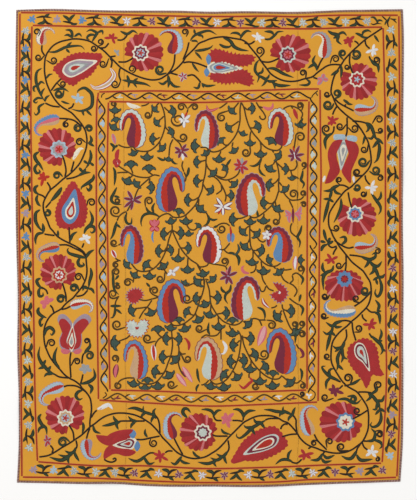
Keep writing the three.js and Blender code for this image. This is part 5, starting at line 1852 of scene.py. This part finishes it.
def shape(work, outline, bands, heart, scallops=0, depth=0.0):
    """A petal or a drop inside a closed outline. A band is a thread and the share of the way out from the
    heart where it starts."""
    line = closed(outline, FINE_STATION)
    if scallops:
        line = scalloped(line, scallops, depth)
    edge = rays(line, heart, SHAPE_SIDES)
    heart = Vector(heart)
    curves = [[heart.lerp(spot, share) for spot in edge] for _, share in bands]
    nest(work, curves, [thread for thread, _ in bands], heart)


def petal(work, threads, width, points, widest=0.45):
    """A petal, a leaf or a bud along a line, with its threads from the edge inwards. Each has an equal share
    of the width, and a thread named twice has two."""
    spine = smooth(points, FINE_STATION)
    bands = [
        (thread, belly(width * (1 - k / len(threads)), widest, base=0.5, tip=0.7))
        for k, thread in enumerate(threads)
    ]
    work.strip(spine, bands)


def floret(work, x, y, ends, threads, width):
    """A small flower: petals from its middle to their ends."""
    for end in ends:
        petal(work, threads, width * PETAL_FULLNESS, [(x, y), end], widest=0.55)
    petal(work, threads[:1], width, [(x - width / 2, y), (x + width / 2, y)], widest=0.5)


def turned_paisley(work, x, y, height, width, degrees, side, threads, form):
    """A paisley or a pod whose axis runs at an angle from its foot, with its tip curled to the left of the
    axis where side is 1 and to the right where it is -1. The first thread is that of its thin rim."""
    broad = side * width / PAISLEY_WIDTH
    axis = toward(degrees)
    left = toward(degrees + 90)
    foot = Vector((x, y))
    lines = [[foot - left * (u * broad) + axis * (v * height) for u, v in line] for line in form]
    edge = paisley_scallops(lines[0], side, 0)
    rim = paisley_scallops(lines[0], side, PAISLEY_RIM)
    bands = [paisley_scallops(line, side, 0, BAND_DEPTH) for line in lines[1:-1]]
    loft(work, [rim, edge, *bands, lines[-1]], threads)


def rosette_edge(centre, across, down, away, stem_angle):
    """The scalloped edge of a rosette, with a notch where its stem comes in."""
    edge = []
    for k in range(ROSETTE_SIDES):
        degrees = 360 * k / ROSETTE_SIDES
        gap = abs((degrees - stem_angle + 180) % 360 - 180)
        scallop = PETAL_DEPTH * abs(math.sin(math.pi * ROSETTE_PETALS * k / ROSETTE_SIDES))
        step = toward(degrees)
        reach = math.hypot(step.x * across, step.y * down) + scallop - PETAL_DEPTH / 2
        if gap < ROSETTE_NOTCH:
            closeness = math.cos(math.pi / 2 * gap / ROSETTE_NOTCH)
            reach += (away.length + PETAL_DEPTH - reach) * closeness
        edge.append(centre + step * reach)
    return edge


def waved_ring(middle, radius, wave, waves, phase):
    """A closed ring whose radius goes in and out, starting with a crest where the phase is a quarter."""
    ring = []
    for k in range(ROSETTE_SIDES):
        share = k / ROSETTE_SIDES
        out = radius + wave * math.sin(math.tau * (waves * share + phase))
        ring.append(middle + toward(360 * share) * out)
    return ring


def rosette(work, x, y, across, down, ring_x, ring_y, ring_radius, ring_threads, stem_x, stem_y):
    """A large rosette: crimson petals, every other one painted darker as shade, with pink bars, round a
    scalloped ring that the stem comes in to.
    """
    centre, ring, stem = Vector((x, y)), Vector((ring_x, ring_y)), Vector((stem_x, stem_y))
    away = stem - centre
    stem_angle = math.degrees(math.atan2(-away.y, away.x))

    def petal_thread(share):
        turn = (360 * share - stem_angle) % 360 - 180
        nearest = round(turn / BAR_SPACING)
        if abs(nearest) <= BARS_EACH_SIDE and abs(turn - nearest * BAR_SPACING) < BAR_HALF_ANGLE:
            return "blush"
        # Every other petal is painted in a darker copy of crimson, as shade between the petals.
        return "crimson" if int(share * ROSETTE_PETALS) % 2 else "madder"

    ring_edge = waved_ring(ring, ring_radius, RING_WAVE, RING_SCALLOPS, phase=0)
    curves = [rosette_edge(centre, across, down, away, stem_angle), ring_edge]
    for share in RING_SHARES[: len(ring_threads) - 2]:
        curves.append([ring.lerp(spot, share) for spot in ring_edge])
    star_radius, star_point = ring_radius * STAR_RADIUS, ring_radius * STAR_POINT
    curves.append(waved_ring(ring, star_radius, star_point, STAR_POINTS, phase=0.25))
    nest(work, curves, [petal_thread, *ring_threads], ring)


def medallion(work, outline, drop, drop_threads, heart):
    """A crimson medallion with scallops, round a drop of several threads."""
    edge = rays(scalloped(closed(outline), MEDALLION_SCALLOPS, MEDALLION_DEPTH), heart, ROSETTE_SIDES)
    drop_edge = rays(closed(drop, FINE_STATION), heart, ROSETTE_SIDES)
    heart = Vector(heart)
    curves = [edge]
    for share in DROP_SHARES[: len(drop_threads)]:
        curves.append([heart.lerp(spot, share) for spot in drop_edge])
    nest(work, curves, ["crimson", *drop_threads], heart)


def wave_places(route, halves, swing):
    """The line of a wave along a route, and what to hang on it: for each crest its place in the middle of
    the route, the way ahead and the way to the empty side."""
    line = evenly(smooth(route), halves * WAVE_STEPS)
    wave, crests = [], []
    for i, spot in enumerate(line):
        ahead = (line[min(i + 1, len(line) - 1)] - line[max(i - 1, 0)]).normalized()
        side = Vector((-ahead.y, ahead.x))
        wave.append(spot + side * swing * math.cos(math.pi * i / WAVE_STEPS))
        if i % WAVE_STEPS == 0:
            crests.append((spot, ahead, side * (-1 if i // WAVE_STEPS % 2 == 0 else 1)))
    return wave, crests


def guard_sprig(work, spot, ahead, side, thread, width):
    """A small two-armed sprig in a bay of the guard wave."""
    for line in GUARD_SPRIG:
        points = [spot + ahead * u + side * v for u, v in line]
        petal(work, (thread,), width, points, widest=0.5)


def make_red_lines(cloth_face, finishes):
    work = Needlework(cloth_face)
    for line in RED_LINES:
        work.strip(smooth(line, 3 * STATION), [("amber", even(LINE_RIM)), ("brick", even(LINE_WIDTH))])
    return work.finish("red_lines", finishes)


def make_guard_waves(cloth_face, finishes):
    work = Needlework(cloth_face)
    for route, halves, thread, width, sprig_threads in GUARD_WAVES:
        wave, crests = wave_places(route, halves, GUARD_SWING)
        work.strip(wave, [(thread, even(STEM_WIDTH))])
        for k, (spot, ahead, side) in enumerate(crests[1:-1], 1):
            threads = sprig_threads[k % 2]
            guard_sprig(work, spot, ahead, side, threads[k // 2 % len(threads)], width)
            root = spot - ahead * (spot - crests[k - 1][0]).length * 0.5
            petal(work, (thread,), STEM_WIDTH, [root + ahead * u + side * v for u, v in OFFSHOOT])
    for points in GUARD_CORNERS:
        work.strip(smooth(points), [("black", even(THIN_STEM_WIDTH))])
    return work.finish("guard_waves", finishes)


def make_narrow_border(cloth_face, finishes):
    work = Needlework(cloth_face)
    for route, outer, along, florets in NARROW_BORDER:
        line = smooth(route)

        def place(far, u, v):
            i = min(range(len(line)), key=lambda n: abs(line[n][along] - far))
            ahead = (line[min(i + 1, len(line) - 1)] - line[max(i - 1, 0)]).normalized()
            return line[i] + ahead * (far - line[i][along] + u) + Vector((-ahead.y, ahead.x)) * v * outer

        for k, (far, thread) in enumerate(florets):
            middle = place(far, 0, 0)
            turned = NARROW_ROLL * k
            ends = [
                middle + toward(turn + turned) * length for turn, length in zip(NARROW_TURNS, NARROW_LENGTHS)
            ]
            floret(work, *middle, ends, (FLORET_RIMS.get(thread, thread), thread), NARROW_PETAL_WIDTH)
            if k + 1 < len(florets):
                midway = (far + florets[k + 1][0]) / 2
                for width, points in NARROW_SPRIGS[k % 2]:
                    sprig = [place(midway, u, v) for u, v in points]
                    threads = ("black", "teal") if width > TWIG_WIDTH else ("black",)
                    petal(work, threads, width * PETAL_FULLNESS, sprig)
    return work.finish("narrow_border", finishes)


def make_border_vine(cloth_face, finishes):
    work = Needlework(cloth_face)
    for route in BORDER_STEMS:
        work.strip(smooth(route), [("black", even(BORDER_STEM_WIDTH))])
    for x0, y0, x, y, radius, side, width in BORDER_CURLS:
        line = smooth(curl_line(x0, y0, x, y, radius, side), FINE_STATION)
        threads = ("black", "teal") if width > THICK_CURL else ("black",)
        widths = [width * CURL_FULLNESS * (1 - k * CURL_RIM) for k in range(len(threads))]
        work.strip(line, [(name, belly(full, **CURL_FORM)) for name, full in zip(threads, widths)])
    return work.finish("border_vine", finishes)


def make_border_leaves(cloth_face, finishes):
    work = Needlework(cloth_face)
    for width, points in BORDER_ARMS:
        petal(work, ("black", "teal"), width * ARM_FULLNESS, points, ARM_WIDEST)
    return work.finish("border_leaves", finishes)


def make_border_flowers(cloth_face, finishes):
    work = Needlework(cloth_face)
    for row in ROSETTES:
        rosette(work, *row)
    for row in MEDALLIONS:
        medallion(work, *row)
    for row in TULIP_SHAPES:
        shape(work, *row)
    for x, y, length, width, degrees, side, threads in PODS:
        turned_paisley(work, x, y, length, width, degrees, side, (POD_RIM, *threads), POD_LINES)
    for row in BORDER_FLORETS:
        floret(work, *row)
    for row in BORDER_PETALS:
        petal(work, *row)
    return work.finish("border_flowers", finishes)


# The scene

def area_light(name, place, size, watts):
    data = bpy.data.lights.new(name, "AREA")
    data.size = size
    data.energy = watts
    light = bpy.data.objects.new(name, data)
    light.location = place
    light.rotation_euler = (-Vector(place)).to_track_quat("-Z", "Y").to_euler()
    bpy.context.scene.collection.objects.link(light)


def make_studio():
    floor_mesh = bmesh.new()
    bmesh.ops.create_grid(floor_mesh, x_segments=1, y_segments=1, size=FLOOR_HALF_WIDTH)
    data = bpy.data.meshes.new("floor")
    floor_mesh.to_mesh(data)
    floor_mesh.free()
    data.materials.append(floor_finish())
    floor = bpy.data.objects.new("floor", data)
    bpy.context.scene.collection.objects.link(floor)
    floor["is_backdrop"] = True
    world = bpy.data.worlds.new("soft_daylight")
    world.use_nodes = True
    background = world.node_tree.nodes["Background"]
    background.inputs["Color"].default_value = (1, 1, 1, 1)
    background.inputs["Strength"].default_value = DAYLIGHT
    bpy.context.scene.world = world
    bpy.context.scene.view_settings.view_transform = "Standard"
    area_light("window_left", place=(-2.6, 2.2, 3.0), size=2.2, watts=76)
    area_light("window_right", place=(2.8, -1.6, 3.4), size=2.6, watts=22)


def make_camera():
    data = bpy.data.cameras.new("camera")
    data.lens = LENS
    camera = bpy.data.objects.new("camera", data)
    camera.location = CAMERA_PLACE
    bpy.context.scene.collection.objects.link(camera)
    bpy.context.scene.camera = camera


make_camera()
make_studio()
thread_finishes = {name: thread_finish(name, colour) for name, colour in THREADS.items()}
cloth = cloth_finish()
braid = braid_finish()
panels = {side: make_panel(side, cloth) for side in ("left", "middle", "right")}
edgings = {side: make_braid(side, braid) for side in ("left", "right", "bottom", "top")}
cloth_face = ClothFace(panels.values())
needlework = [
    make(cloth_face, thread_finishes)
    for make in (
        make_red_lines, make_guard_waves, make_narrow_border, make_border_vine, make_border_leaves,
        make_border_flowers, make_field_vine, make_field_leaves, make_field_flowers, make_paisleys,
    )
]
on_panel = {
    "left": [edgings["left"]],
    "middle": [edgings["bottom"], edgings["top"], *needlework],
    "right": [edgings["right"]],
}
for side, panel in panels.items():
    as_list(on_panel[side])

bpy.context.view_layer.update()
sizes = {"cad": cad_bounds, "visual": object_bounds()}
{name: [list(corner) for corner in corners] for name, corners in sizes.items()}
